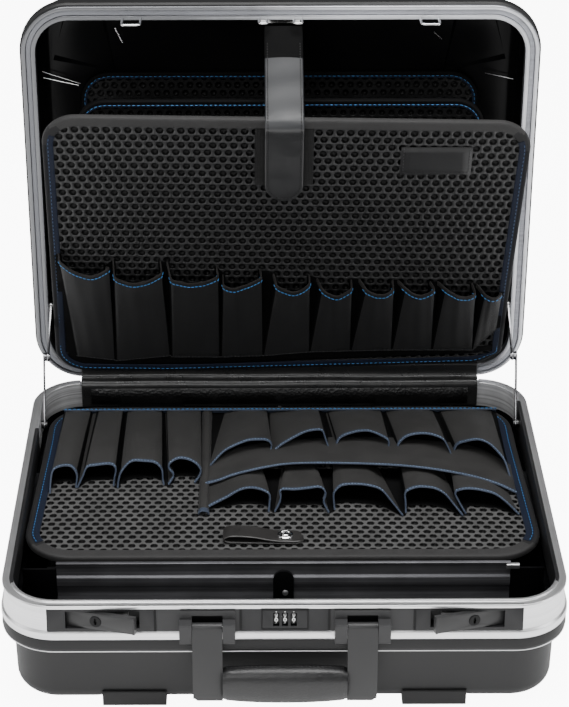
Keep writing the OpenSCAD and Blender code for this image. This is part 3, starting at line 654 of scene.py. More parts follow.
def outward(mesh: bpy.types.Mesh) -> None:
    """Turns faces outwards."""
    bm = bmesh.new()
    bm.from_mesh(mesh)
    bmesh.ops.recalc_face_normals(bm, faces=bm.faces[:])
    bm.to_mesh(mesh)
    bm.free()


def crisp(mesh: bpy.types.Mesh, angle: float) -> None:
    """Smooth shading with edges sharper than the angle, in degrees, kept."""
    mesh.shade_smooth()
    mesh.set_sharp_from_angle(angle=math.radians(angle))


def bake(piece: Piece, angle: float = 35.0) -> Piece:
    """Applies a piece's modifiers to its mesh.

    Args:
        piece: The piece.
        angle: Edges sharper than this many degrees stay sharp.

    Returns:
        The same piece.
    """
    graph = bpy.context.evaluated_depsgraph_get()
    mesh = bpy.data.meshes.new_from_object(piece.evaluated_get(graph), preserve_all_data_layers=True,
                                           depsgraph=graph)
    mesh.name = piece.name
    piece.modifiers.clear()
    piece.data = mesh
    crisp(mesh, angle)
    return piece


def cut(piece: Piece, cutters: Sequence[Piece]) -> Piece:
    """Cuts pieces out of another and deletes them.

    Args:
        piece: What is cut.
        cutters: Closed pieces to take away.

    Returns:
        The piece that was cut.
    """
    for cutter in cutters:
        modifier = piece.modifiers.new("cut", "BOOLEAN")
        modifier.operation, modifier.solver, modifier.object = "DIFFERENCE", "EXACT", cutter
    bake(piece)
    for cutter in cutters:
        bpy.data.objects.remove(cutter)
    return piece


def block(corners: Sequence[Point], matrix: Matrix | None = None, slot: int = 0) -> Piece:
    """A six-sided cutter from its four lower and four upper corners, in millimetres.

    Args:
        corners: Lower four, then upper four.
        matrix: Where to put it.
        slot: 0 leaves the outer finish on the cut, 1 the inner.

    Returns:
        The cutter.
    """
    data = MeshData()
    data.part(corners, [(3, 2, 1, 0), (4, 5, 6, 7), (0, 1, 5, 4), (1, 2, 6, 5), (2, 3, 7, 6), (3, 0, 4, 7)], slot)
    piece = data.build("cutter", [SHELL_OUT, SHELL_IN])
    if matrix is not None:
        piece.data.transform(matrix)
    return piece


def box_corners(lo: Point, hi: Point, top_grow: Pair = (0.0, 0.0)) -> list[Point]:
    """Corners of a box whose upper face is larger by top_grow on each side."""
    gx, gy = top_grow
    low = [(lo[0], lo[1]), (hi[0], lo[1]), (hi[0], hi[1]), (lo[0], hi[1])]
    high = [(lo[0] - gx, lo[1] - gy), (hi[0] + gx, lo[1] - gy), (hi[0] + gx, hi[1] + gy), (lo[0] - gx, hi[1] + gy)]
    return [(*p, lo[2]) for p in low] + [(*p, hi[2]) for p in high]


def fillet(points: Sequence[Pair], radius: float | Sequence[float], closed: bool = True,
           steps: int = 3) -> Array:
    """Rounds the corners of an outline.

    Args:
        points: The outline's corners.
        radius: One radius, or one for each corner.
        closed: Whether the outline closes.
        steps: Points on each rounded corner, less one.

    Returns:
        Array of points.
    """
    p = np.array(points, float)
    n = len(p)
    radii = [radius] * n if isinstance(radius, (int, float)) else list(radius)
    out: list[Array] = []
    for i in range(n):
        if not closed and i in (0, n - 1) or radii[i] <= 0:
            out.append(p[i])
            continue
        a, b = p[i - 1] - p[i], p[(i + 1) % n] - p[i]
        la, lb = np.linalg.norm(a), np.linalg.norm(b)
        a, b = a / la, b / lb
        angle = math.acos(float(np.clip(a @ b, -1, 1)))
        if angle > math.radians(172):
            out.append(p[i])
            continue
        reach = min(radii[i] / math.tan(angle / 2), 0.46 * la, 0.46 * lb)
        for k in range(steps + 1):
            t = k / steps
            out.append((1 - t) ** 2 * (p[i] + a * reach) + 2 * t * (1 - t) * p[i] + t * t * (p[i] + b * reach))
    return np.array(out)


def arc(cx: float, cy: float, r: float, a0: float, a1: float, steps: int = 8) -> list[Pair]:
    """Points on an arc, angles in degrees."""
    return [(cx + r * math.cos(math.radians(a0 + (a1 - a0) * i / steps)),
             cy + r * math.sin(math.radians(a0 + (a1 - a0) * i / steps))) for i in range(steps + 1)]


@dataclass(frozen=True)
class Outline:
    """A rounded rectangle that profiles are swept around."""

    width: float
    depth: float
    corner: float
    steps: int = 20

    def stations(self) -> tuple[Array, Array]:
        """Points of the outline and their outward normals.

        Returns:
            Points and normals, two arrays of pairs.
        """
        points, normals = [], []
        for k, (sx, sy) in enumerate(((1, 1), (-1, 1), (-1, -1), (1, -1))):
            cx, cy = sx * (self.width / 2 - self.corner), sy * (self.depth / 2 - self.corner)
            for i in range(self.steps + 1):
                a = math.radians(90 * k + 90 * i / self.steps)
                normals.append((math.cos(a), math.sin(a)))
                points.append((cx + self.corner * math.cos(a), cy + self.corner * math.sin(a)))
            a = math.radians(90 * (k + 1))
            nx, ny = math.cos(a), math.sin(a)
            run = (self.width if k % 2 == 0 else self.depth) - 2 * self.corner
            last = points[-1]
            parts = max(2, int(run / 40))
            for i in range(1, parts):
                points.append((last[0] - ny * run * i / parts, last[1] + nx * run * i / parts))
                normals.append((nx, ny))
        return np.array(points), np.array(normals)

    def rings(self, profile: Array) -> Array:
        """Cross-sections of a profile of (outward, up) points, swept round the outline."""
        points, normals = self.stations()
        out = np.zeros((len(points), len(profile), 3))
        out[:, :, :2] = points[:, None, :] + normals[:, None, :] * profile[None, :, :1]
        out[:, :, 2] = profile[None, :, 1]
        return out

    def line(self, offset: float, z: float) -> Array:
        """Closed line at an outward offset and height."""
        points, normals = self.stations()
        flat = points + normals * offset
        return np.column_stack([flat, np.full(len(flat), z)])


def smooth_line(points: Sequence[Sequence[float]], count: int) -> Array:
    """Evenly spaced points on a Catmull-Rom curve through the points.

    Args:
        points: Points that the curve passes.
        count: Number of points to give.

    Returns:
        Array of points.
    """
    p = np.array(points, float)
    ext = np.vstack([2 * p[0] - p[1], p, 2 * p[-1] - p[-2]])
    dense = []
    for i in range(1, len(ext) - 2):
        for t in np.linspace(0, 1, 12, endpoint=False):
            a, b, c, d = ext[i - 1], ext[i], ext[i + 1], ext[i + 2]
            dense.append(0.5 * (2 * b + (c - a) * t + (2 * a - 5 * b + 4 * c - d) * t ** 2
                                + (3 * b - a - 3 * c + d) * t ** 3))
    return resample(np.vstack([dense, p[-1]]), count)


def distances(line: Array) -> Array:
    """Distance along a line to each of its points."""
    return np.concatenate([[0], np.cumsum(np.linalg.norm(np.diff(line, axis=0), axis=1))])


def turns(count: int) -> Array:
    """Evenly spaced angles of a full turn."""
    return np.linspace(0, math.tau, count, endpoint=False)


def flat_grid(xs: Sequence[float], ys: Sequence[float], z: float) -> Array:
    """Grid of points at one height."""
    return np.array([[[x, y, z] for x in xs] for y in ys])


def resample(line: Array, count: int) -> Array:
    """Points evenly spaced along a line."""
    length = distances(line)
    at = np.linspace(0, length[-1], count)
    return np.column_stack([np.interp(at, length, line[:, k]) for k in range(line.shape[1])])


def tube(path: Array, radius: float, sides: int = 12) -> Array:
    """Rings of a round bar along a path.

    Args:
        path: Middle line.
        radius: Radius of the bar.
        sides: Points to a ring.

    Returns:
        Array (points of the path, sides, 3).
    """
    tangent = unit(np.gradient(path, axis=0))
    side = unit(np.cross(tangent[0], (0.3, 0.5, 0.8)))
    rings = []
    for p, t in zip(path, tangent):
        side = unit(side - t * (side @ t))
        up = np.cross(t, side)
        a = turns(sides)
        rings.append(p + radius * (np.outer(np.cos(a), side) + np.outer(np.sin(a), up)))
    return np.array(rings)


def kept_run(flags: Array) -> Array:
    """Numbers of the flagged stations of a closed line, in order, where the flags make one run."""
    start = int(np.argmin(flags))
    order = (np.arange(len(flags)) + start) % len(flags)
    return order[flags[order]]


def repaint(piece: Piece, test: Callable[[Any], bool], slot: int) -> None:
    """Gives another material slot to the faces whose middle, in millimetres, passes the test."""
    for face in piece.data.polygons:
        if test(face.center / MM):
            face.material_index = slot


def place(piece: Piece, matrix: Matrix) -> Piece:
    """Moves a piece's mesh, so that its object stays at the origin."""
    piece.data.transform(matrix)
    return piece


def done(piece: Piece, body: Body | str, slot: str, *nodes: str) -> Piece:
    """Hangs a finished piece on its body, moves it into the imported frame and hides the CAD nodes it stands for."""
    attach(piece, body.value if isinstance(body, Body) else body)
    return listed(piece, slot, *nodes)


def listed(piece: Piece, slot: str, *nodes: str) -> Piece:
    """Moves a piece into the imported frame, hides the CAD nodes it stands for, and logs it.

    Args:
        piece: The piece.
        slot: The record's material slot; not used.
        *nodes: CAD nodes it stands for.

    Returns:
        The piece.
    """
    place(piece, SHIFT)
    if nodes:
        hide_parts(*nodes)
    LOG.info("%-22s %6d faces", piece.name, len(piece.data.polygons))
    return piece


class Repeater(Graph):
    """A geometry-node tree with named inputs that ends in realised, painted copies."""

    def __init__(self, name: str, inputs: Mapping[str, str]) -> None:
        """Makes the tree's sockets; inputs maps each name to its kind."""
        tree = bpy.data.node_groups.new(name, "GeometryNodeTree")
        tree.interface.new_socket("Geometry", in_out="INPUT", socket_type="NodeSocketGeometry")
        for label, kind in inputs.items():
            tree.interface.new_socket(label, in_out="INPUT", socket_type=f"NodeSocket{kind}")
        tree.interface.new_socket("Geometry", in_out="OUTPUT", socket_type="NodeSocketGeometry")
        super().__init__(tree)
        self.given = self.add("NodeGroupInput").outputs
        self.result = self.add("NodeGroupOutput")

    def end(self, geometry: Socket, *paints: tuple[Socket, Any]) -> None:
        """Realises the copies and paints them.

        Args:
            geometry: What the tree made.
            *paints: Material and selection pairs, later ones on top.
        """
        node = self.add("GeometryNodeRealizeInstances", {0: geometry})
        node = self.add("GeometryNodeMergeByDistance", {0: node.outputs[0], "Distance": WELD})
        for paint, selection in paints:
            inputs = {"Geometry": node.outputs[0], "Material": paint}
            if selection is not None:
                inputs["Selection"] = selection
            node = self.add("GeometryNodeSetMaterial", inputs)
        self.tree.links.new(node.outputs[0], self.result.inputs[0])

    def apply(self, piece: Piece, values: Mapping[str, Any], angle: float = 35.0) -> Piece:
        """Runs the tree on a piece and keeps the result as its mesh.

        Args:
            piece: What the tree starts from.
            values: Value of each named input.
            angle: Edges sharper than this many degrees stay sharp.

        Returns:
            The same piece.
        """
        modifier = piece.modifiers.new(self.tree.name, "NODES")
        modifier.node_group = self.tree
        for item in self.tree.interface.items_tree:
            if item.in_out == "INPUT" and item.name in values:
                modifier[item.identifier] = values[item.name]
        return bake(piece, angle)


@lru_cache(maxsize=None)
def stitch_tree() -> Repeater:
    """Stitches laid end to end along the piece's edges.

    Returns:
        The tree, built once.
    """
    g = Repeater("Stitches", {"Spacing": "Float", "Length": "Float", "Radius": "Float", "Thread": "Material"})
    curve = g.add("GeometryNodeMeshToCurve", {0: g.given["Geometry"]}).outputs[0]
    points = g.add("GeometryNodeCurveToPoints", {"Curve": curve, "Length": g.given["Spacing"]}, mode="LENGTH")
    bead = g.add("GeometryNodeMeshUVSphere", {"Segments": 6, "Rings": 5, "Radius": 1.0}).outputs[0]
    size = g.add("ShaderNodeCombineXYZ", {0: g.given["Radius"], 1: g.given["Radius"],
                                          2: g.math("MULTIPLY", g.given["Length"], 0.5)}).outputs[0]
    copies = g.add("GeometryNodeInstanceOnPoints", {"Points": points.outputs["Points"], "Instance": bead,
                                                    "Rotation": points.outputs["Rotation"], "Scale": size})
    g.end(copies.outputs[0], (g.given["Thread"], None))
    return g


@lru_cache(maxsize=None)
def dimple_tree() -> Repeater:
    """Pressed cells in brick rows, kept where they lie inside a rounded rectangle.

    Returns:
        The tree, built once.
    """
    g = Repeater("Dimples", {"Width": "Float", "Length": "Float", "Corner": "Float", "Pitch X": "Float",
                             "Pitch Y": "Float", "Columns": "Int", "Rows": "Int", "Inset": "Float",
                             "Cell": "Object", "Foam": "Material", "Cup": "Material"})
    v = g.given
    size_x = g.math("MULTIPLY", g.math("SUBTRACT", v["Columns"], 1.0), v["Pitch X"])
    size_y = g.math("MULTIPLY", g.math("SUBTRACT", v["Rows"], 1.0), v["Pitch Y"])
    grid = g.add("GeometryNodeMeshGrid", {"Size X": size_x, "Size Y": size_y, "Vertices X": v["Columns"],
                                          "Vertices Y": v["Rows"]}).outputs[0]
    at = g.add("ShaderNodeSeparateXYZ", {0: g.add("GeometryNodeInputPosition").outputs[0]}).outputs
    row = g.math("ROUND", g.math("DIVIDE", g.math("MULTIPLY_ADD", size_y, 0.5, at[1]), v["Pitch Y"]))
    odd = g.math("FLOORED_MODULO", row, 2.0)
    moved = g.add("GeometryNodeSetPosition", {"Geometry": grid, "Offset": g.add(
        "ShaderNodeCombineXYZ", {0: g.math("MULTIPLY", odd, g.math("MULTIPLY", v["Pitch X"], 0.5))}).outputs[0]})
    spot = g.add("ShaderNodeSeparateXYZ", {0: g.add("GeometryNodeInputPosition").outputs[0]}).outputs
    inwards = g.math("MULTIPLY", v["Corner"], -1.0)
    qx, qy = (g.math("SUBTRACT", g.math("ABSOLUTE", spot[i]), g.math("MULTIPLY_ADD", v[side], 0.5, inwards))
              for i, side in enumerate(("Width", "Length")))
    ox, oy = g.math("MAXIMUM", qx, 0.0), g.math("MAXIMUM", qy, 0.0)
    outer = g.math("SQRT", g.math("ADD", g.math("MULTIPLY", ox, ox), g.math("MULTIPLY", oy, oy)))
    inner = g.math("MINIMUM", g.math("MAXIMUM", qx, qy), 0.0)
    distance = g.math("SUBTRACT", g.math("ADD", outer, inner), v["Corner"])
    outside = g.math("GREATER_THAN", distance, g.math("MULTIPLY", v["Inset"], -1.0))
    kept = g.add("GeometryNodeDeleteGeometry", {"Geometry": moved.outputs[0], "Selection": outside}, domain="POINT")
    cell = g.add("GeometryNodeObjectInfo", {"Object": v["Cell"]}).outputs["Geometry"]
    copies = g.add("GeometryNodeInstanceOnPoints", {"Points": kept.outputs[0], "Instance": cell})
    # Flagged cup faces take the near-black cup finish: painted shade.
    cup = g.add("GeometryNodeInputNamedAttribute", {"Name": "cup"}, data_type="FLOAT").outputs[0]
    g.end(copies.outputs[0], (v["Foam"], None), (v["Cup"], g.math("GREATER_THAN", cup, 0.5)))
    return g


@lru_cache(maxsize=None)
def soften_tree() -> bpy.types.NodeTree:
    """Smooth shading with sharp edges kept, for carried-over CAD nodes.

    Returns:
        The tree, built once.
    """
    g = Repeater("Soften", {})
    smooth = g.add("GeometryNodeSetShadeSmooth", {"Geometry": g.given[0], "Shade Smooth": True}, domain="FACE")
    angle = g.add("GeometryNodeInputMeshEdgeAngle").outputs[0]
    sharp = g.math("GREATER_THAN", angle, math.radians(32))
    edges = g.add("GeometryNodeSetShadeSmooth", {"Geometry": smooth.outputs[0], "Selection": sharp,
                                                 "Shade Smooth": False}, domain="EDGE")
    g.tree.links.new(edges.outputs[0], g.result.inputs[0])
    return g.tree


def dress(nodes: Sequence[str], finish: Finish, bevel: float = 0.3) -> None:
    """Gives carried-over CAD nodes a finish and softened edges.

    Args:
        nodes: Names of the nodes.
        finish: Their finish.
        bevel: Width of the softened edge.
    """
    for name in nodes:
        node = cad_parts[name]
        for slot in node.material_slots:
            slot.material = material(finish)
        if not node.material_slots:
            node.data.materials.append(material(finish))
        weld = node.modifiers.new("weld", "WELD")
        weld.merge_threshold = WELD
        if bevel > 0:
            edge = node.modifiers.new("edge", "BEVEL")
            edge.width, edge.segments, edge.limit_method = bevel * MM, 2, "ANGLE"
            edge.angle_limit, edge.use_clamp_overlap = math.radians(38), True
        node.modifiers.new("soften", "NODES").node_group = soften_tree()


def stitches(name: str, lines: Sequence[Array], finish: Finish, spacing: float = 4.2, length: float = 2.9,
             radius: float = 0.34) -> Piece:
    """A row of stitches along each line, one mesh for them all.

    Args:
        name: The piece's name.
        lines: Open lines of points.
        finish: Thread.
        spacing: From one stitch to the next.
        length: Length of a stitch.
        radius: Half its thickness.

    Returns:
        The stitches.
    """
    verts, edges, count = [], [], 0
    for line in lines:
        verts.append(line)
        edges += [(count + i, count + i + 1) for i in range(len(line) - 1)]
        count += len(line)
    mesh = bpy.data.meshes.new(name)
    mesh.from_pydata((np.concatenate(verts) * MM).tolist(), edges, [])
    piece = linked(name, mesh)
    return stitch_tree().apply(piece, {"Spacing": spacing * MM, "Length": length * MM, "Radius": radius * MM,
                                       "Thread": material(finish)}, 80)


def dimple_cell(pitch: Pair, cup: Pair, depth: float,
                sides: int = 12) -> Piece:
    """One pressed cell: a raised border that meets its neighbours and a rounded cup of two half widths.

    Args:
        pitch: Width and height of the cell.
        cup: Half widths of the cup.
        depth: How deep it is.
        sides: Corners of the cup.

    Returns:
        An object to copy.
    """
    w, h = pitch[0] / 2, pitch[1] / 2
    border = [(w, 0), (w, h), (w / 2, h), (0, h), (-w / 2, h), (-w, h), (-w, 0), (-w, -h), (-w / 2, -h), (0, -h),
              (w / 2, -h), (w, -h)]
    verts = [(x, y, 0.0) for x, y in border]
    rows = ((1.08, 0.0), (1.0, -0.14), (0.9, -0.6), (0.5, -1.0))
    for scale, drop in rows:
        for x, y in border:
            a = math.atan2(y / h, x / w)
            verts.append((cup[0] * scale * math.cos(a), cup[1] * scale * math.sin(a), depth * drop))
    # The two lower rows and the bottom are flagged cup: they get the near-black finish, painted shade in the cup.
    faces, deep = [], []
    for r in range(len(rows)):
        for i in range(sides):
            j = (i + 1) % sides
            faces.append((r * sides + i, r * sides + j, (r + 1) * sides + j, (r + 1) * sides + i))
            deep.append(1.0 if r >= 2 else 0.0)
    faces.append(tuple(len(rows) * sides + i for i in range(sides)))
    deep.append(1.0)
    mesh = bpy.data.meshes.new("cell")
    mesh.from_pydata([(x * MM, y * MM, z * MM) for x, y, z in verts], [], faces)
    mesh.attributes.new("cup", "FLOAT", "FACE").data.foreach_set("value", deep)
    outward_up(mesh)
    return linked("cell", mesh)


def outward_up(mesh: bpy.types.Mesh) -> None:
    """Turns an open sheet so that most of it faces up.

    Args:
        mesh: An open mesh.
    """
    bm = bmesh.new()
    bm.from_mesh(mesh)
    bmesh.ops.recalc_face_normals(bm, faces=bm.faces[:])
    bm.normal_update()
    if sum(f.normal.z * f.calc_area() for f in bm.faces) < 0:
        bmesh.ops.reverse_faces(bm, faces=bm.faces[:])
    bm.to_mesh(mesh)
    bm.free()


@dataclass(frozen=True)
class FoamBoard:
    """A dimpled board: foam core, bound edge, piping and stitches."""

    size: BoardSize
    foam: Finish
    tape: Finish
    depth: float = 3.0
    border: float = 3.0

    def core(self) -> Piece:
        """The foam with its dimples, about the middle of the board.

        Returns:
            The foam, about the board's middle.
        """
        s = self.size
        wide, long = s.width - self.border, s.length - self.border
        columns, rows = round(wide / s.pitch[0]), round(long / s.pitch[1])
        pitch = (wide / columns, long / rows)
        inset = 5.6 if s.rim > 10 else 1.45 + pitch[1] / 2
        cell = dimple_cell(pitch, s.cup, self.depth)
        piece = linked(f"{s.name}_foam", bpy.data.meshes.new(s.name))
        piece.data.from_pydata([(0, 0, 0)], [], [])
        dimple_tree().apply(piece, {"Width": s.width * MM, "Length": s.length * MM, "Corner": s.corner * MM,
                                    "Pitch X": pitch[0] * MM, "Pitch Y": pitch[1] * MM, "Columns": columns,
                                    "Rows": rows, "Inset": inset * MM, "Cell": cell, "Foam": material(self.foam),
                                    "Cup": material(CUP_SHADE)}, 60)
        bpy.data.objects.remove(cell)
        bm = bmesh.new()
        bm.from_mesh(piece.data)
        rim = [e for e in bm.edges if e.is_boundary]
        low = bmesh.ops.extrude_edge_only(bm, edges=rim)["geom"]
        for v in (g for g in low if isinstance(g, bmesh.types.BMVert)):
            v.co.z -= s.thick * MM
        back = bmesh.ops.edgeloop_fill(bm, edges=[e for e in bm.edges if e.is_boundary])["faces"]
        for height in np.arange(-s.length / 2 + 4, s.length / 2, 9.0) * MM:
            around = [*(e for f in back for e in f.edges), *(v for f in back for v in f.verts)]
            whole = list(dict.fromkeys([*back, *around]))
            parts = bmesh.ops.bisect_plane(bm, geom=whole, plane_co=(0, height, 0), plane_no=(0, 1, 0))["geom"]
            back = [f for f in parts if isinstance(f, bmesh.types.BMFace)]
        bmesh.ops.recalc_face_normals(bm, faces=bm.faces[:])
        for face in bm.faces:
            if face.calc_center_median().z < -0.9 * s.thick * MM:
                face.material_index = piece.data.materials.find(self.foam.name)
        bm.to_mesh(piece.data)
        bm.free()
        crisp(piece.data, 60)
        return piece

    def edge(self) -> Piece:
        """The bound edge: tape folded over the foam.

        Returns:
            The tape.
        """
        s = self.size
        top, bottom = s.proud, -s.thick - s.proud
        profile = fillet([(-s.rim, bottom), (0, bottom), (0, top), (-s.rim, top)], [0.5, 2.6, 2.6, 0.5], steps=5)
        data = MeshData()
        data.sweep(Outline(s.width, s.length, s.corner, 14).rings(profile), closed=True)
        # The second and third slots are darker copies of the tape, painted shade where the binding is repainted.
        return data.build(f"{s.name}_binding", [self.tape, TAPE_DARK, TAPE_SIDE_SHADE], 50)

    def piping(self, keep: Callable[[Array], Array]) -> Piece:
        """Raised navy line along the inner edge of the tape, where keep holds.

        Args:
            keep: Tells which points of the line are kept.

        Returns:
            The piping.
        """
        s = self.size
        near, far, low, high = -s.rim - 0.6, -s.rim + s.navy, s.proud - 1.4, s.proud + 0.35
        profile = fillet([(near, low), (far, low), (far, high), (near, high)], 0.6, steps=3)
        rings = Outline(s.width, s.length, s.corner, 14).rings(profile)
        flags = keep(rings[:, 0])
        data = MeshData()
        data.sweep(rings if flags.all() else rings[kept_run(flags)], closed=bool(flags.all()))
        return data.build(f"{s.name}_piping", [PIPING], 60)

    def seam(self, keep: Callable[[Array], Array]) -> Array:
        """Line of the stitches on the piping, where keep holds."""
        s = self.size
        line = Outline(s.width, s.length, s.corner, 14).line(-s.rim + s.navy * 0.78, s.proud + 0.35)
        line = resample(np.vstack([line, line[:1]]), 500)[:-1]
        flags = keep(line)
        return np.vstack([line, line[:1]]) if flags.all() else line[kept_run(flags)]


def hang(piece: Piece, middle: float) -> Piece:
    """Draws the foot of the front board up a little towards the right, as it hangs in the lid."""
    for v in piece.data.vertices:
        lift = 3.5 + max(-1.5, 0.055 * (v.co.x / MM + 75))
        v.co.y += lift * min(1.0, max(0.0, (22 - v.co.y / MM - middle) / 28)) * MM
    return piece


def lean_out(piece: Piece, middle: float) -> Piece:
    """Bends the foot of the front board, drawn about that height, forwards over the lid's rim.

    Args:
        piece: A piece on the board.
        middle: Height that the piece is drawn about.

    Returns:
        The piece.
    """
    for v in piece.data.vertices:
        height = v.co.y / MM + middle
        push = 15.5 * (max(0.0, 80 - height) / 97) ** 1.8 * MM
        v.co.y += 0.729 * push
        v.co.z += 0.682 * push
    return piece


@dataclass(frozen=True)
class LidBoards:
    """The back, middle and front boards in the lid; pitch and cup of the far ones and the near one."""

    far: tuple[Pair, Pair] = ((8.55, 7.4), (3.1, 2.9))
    near: tuple[Pair, Pair] = ((8.98, 7.8), (3.45, 3.4))

    def build(self) -> None:
        """Makes the three boards."""
        self.hung(BoardSize("board_back", 358, 272, 26, 5.5, *self.far), BoardPlace(43, 0), Body.LID)
        self.hung(BoardSize("board_middle", 358, 268, 26, 5.5, *self.far), BoardPlace(26, 8), Body.MIDDLE_BOARD)
        self.hung(BoardSize("board_front", 414, 310, 30, 9, *self.near, foot=-17, navy=5),
                  BoardPlace(5, 18.7, -1.2, 2.0), Body.FRONT_BOARD)

    def hung(self, size: BoardSize, where: BoardPlace, body: Body) -> None:
        """Makes one board and hangs it in its place.

        Args:
            size: The board's measures.
            where: Its place.
            body: The body it rides on.
        """
        front = body is Body.FRONT_BOARD
        # The far boards' binding takes the near-black copy of the tape: painted shade.
        board = FoamBoard(size, FOAM if front else FOAM_DARK, TAPE if front else TAPE_FAR_SHADE)
        middle, top = size.foot + size.length / 2, size.length / 2
        matrix = where.matrix() @ Matrix.Translation((0, middle * MM, size.thick / 2 * MM))
        core, edge = board.core(), board.edge()
        piping = board.piping(lambda p: p[:, 1] < top - 20 if front else p[:, 1] < 1e9)
        seam = board.seam(lambda p: p[:, 1] < 40 - top if front else p[:, 1] < 1e9)
        pieces = [core, edge, piping, stitches(f"{size.name}_stitches", [seam], BLUE)]
        if front:
            sides = [board.seam(lambda p, s=s: (p[:, 0] * s > 0) & (p[:, 1] > 40 - top) & (p[:, 1] < top - 22))
                     for s in (-1, 1)]
            pieces.append(stitches("board_front_side_stitches", sides, NAVY_THREAD))
            # Painted shade: the binding below the board's top edge takes a darker copy of the tape, and below top -
            # 34 the darkest copy.
            repaint(edge, lambda p: p.y < top - 11, 2)
            repaint(edge, lambda p: p.y < top - 34, 1)
        for piece in pieces:
            if front:
                lean_out(hang(piece, middle), middle)
            done(place(piece, matrix), body, "board_fabric", *([size.name] if piece is core else []))


@dataclass(frozen=True)
class BellowsPocket:
    """A front board pocket in the board's frame: corners as (x, up the board)."""

    foot: tuple[Pair, Pair]
    corners: tuple[Pair, Pair]
    valley: Pair
    ears: tuple[Pair, Pair]

    def grid(self, face: float, bulge: float, rows: int = 14, seed: int = 0) -> Array:
        """Surface from the left ear over the front to the right ear.

        Args:
            face: Height of the board's face.
            bulge: How far the mouth stands out.
            rows: Rows from foot to mouth.
            seed: Seed of the creases.

        Returns:
            Array (rows, columns, 3).
        """
        (bl, br), (tl, tr), (el, er) = self.foot, self.corners, self.ears
        width = tr[0] - tl[0]
        peak = (self.valley[0] - tl[0]) / width
        dip = tl[1] + (tr[1] - tl[1]) * peak - self.valley[1]
        rng = np.random.default_rng(seed)
        phase = rng.uniform(0, 6.28, 4)
        out = []
        for t in np.linspace(0, 1, rows):
            line = []
            for q in np.linspace(0, 1, 5)[:-1]:
                left = [bl[0] + (el[0] - bl[0]) * t, bl[1] + (el[1] - bl[1]) * t, face + 0.2]
                edge = [bl[0] + (tl[0] - bl[0]) * t, bl[1] + (tl[1] - bl[1]) * t, face + 0.5 + bulge * t ** 0.9]
                line.append(np.array(left) + (np.array(edge) - left) * q)
            for s in np.linspace(0, 1, 17):
                x0, x1 = bl[0] + (br[0] - bl[0]) * s, tl[0] + width * s
                y0, y1 = bl[1] + (br[1] - bl[1]) * s, tl[1] + (tr[1] - tl[1]) * s
                y1 -= dip * math.sin(math.pi * min(1, s / (2 * peak) if s < peak else 0.5
                    + (s - peak) / (2 - 2 * peak)))
                wrinkle = 0.35 * t * math.sin(9 * s + phase[0]) * math.sin(5 * t + phase[1])
                wrinkle += 0.25 * math.sin(17 * s + 3 * t + phase[2])
                z = face + 0.5 + bulge * t ** 0.9 + 1.6 * math.sin(math.pi * s) * t + wrinkle
                line.append(np.array([x0 + (x1 - x0) * t, y0 + (y1 - y0) * t, z]))
            for q in np.linspace(0, 1, 5)[1:]:
                edge = [br[0] + (tr[0] - br[0]) * t, br[1] + (tr[1] - br[1]) * t, face + 0.5 + bulge * t ** 0.9]
                right = [br[0] + (er[0] - br[0]) * t, br[1] + (er[1] - br[1]) * t, face + 0.2]
                line.append(np.array(edge) + (np.array(right) - edge) * q)
            line = np.array(line)
            line[1:-1] = 0.2 * line[:-2] + 0.6 * line[1:-1] + 0.2 * line[2:]
            out.append(line)
        return np.array(out)


FRONT_POCKETS = tuple(BellowsPocket(*row) for row in (
    (((-187.6, 9.8), (-153.1, 3.9)), ((-195.9, 140.0), (-152.0, 132.7)), (-171.1, 123.5),
     ((-197, 141.5), (-156, 124.5))),
    (((-151.5, 2.9), (-101.5, 9.4)), ((-148.2, 120.3), (-105.7, 124.5)), (-130.0, 114.0),
     ((-149, 135.5), (-107, 131))),
    (((-99.9, 7.7), (-55.6, 7.5)), ((-97.8, 117.0), (-55.3, 120.9)), (-76.3, 113.8), ((-101, 131), (-57, 126))),
    (((-54.0, 7.5), (-15.5, 9.0)), ((-51.0, 109.5), (-16.7, 119.7)), (-40.6, 107.4), ((-51.5, 115), (-18, 121))),
    (((-15.1, 9.0), (27.6, 13.8)), ((-3.2, 109.3), (26.3, 111.4)), (13.0, 102.7), ((-6, 116), (26, 114))),
    (((28.1, 13.8), (65.3, 15.0)), ((38.1, 103.9), (64.1, 105.0)), (50.8, 97.5), ((33, 110), (64, 108))),
    (((66.2, 15.0), (103.4, 16.1)), ((77.6, 103.7), (101.8, 104.8)), (91.3, 98.6), ((71, 109), (101, 107.5))),
    (((104.3, 16.1), (140.6, 16.0)), ((113.0, 104.8), (138.6, 104.7)), (127.3, 97.8), ((106, 107), (135, 105))),
    (((141.6, 16.0), (178.3, 15.8)), ((149.0, 104.6), (175.9, 98.2)), (164.4, 95.7), ((142, 105), (173, 103))),
    (((178.8, 15.8), (198.9, 43.6)), ((185.0, 96.9), (199.3, 98.1)), (192.4, 94.3), ((177, 102), (199, 91)))))


def strip_of(grid: Array, reach: float) -> Array:
    """The last part of each column of a grid, that long, resampled.

    Args:
        grid: Array (rows, columns, 3).
        reach: Length of the strip.

    Returns:
        Array (4, columns, 3).
    """
    out = []
    for column in np.moveaxis(grid, 1, 0):
        back = column[::-1]
        length = distances(back)
        at = np.linspace(0, min(reach, length[-1] * 0.9), 4)
        out.append(np.column_stack([np.interp(at, length, back[:, k]) for k in range(3)]))
    return np.moveaxis(np.array(out), 0, 1)


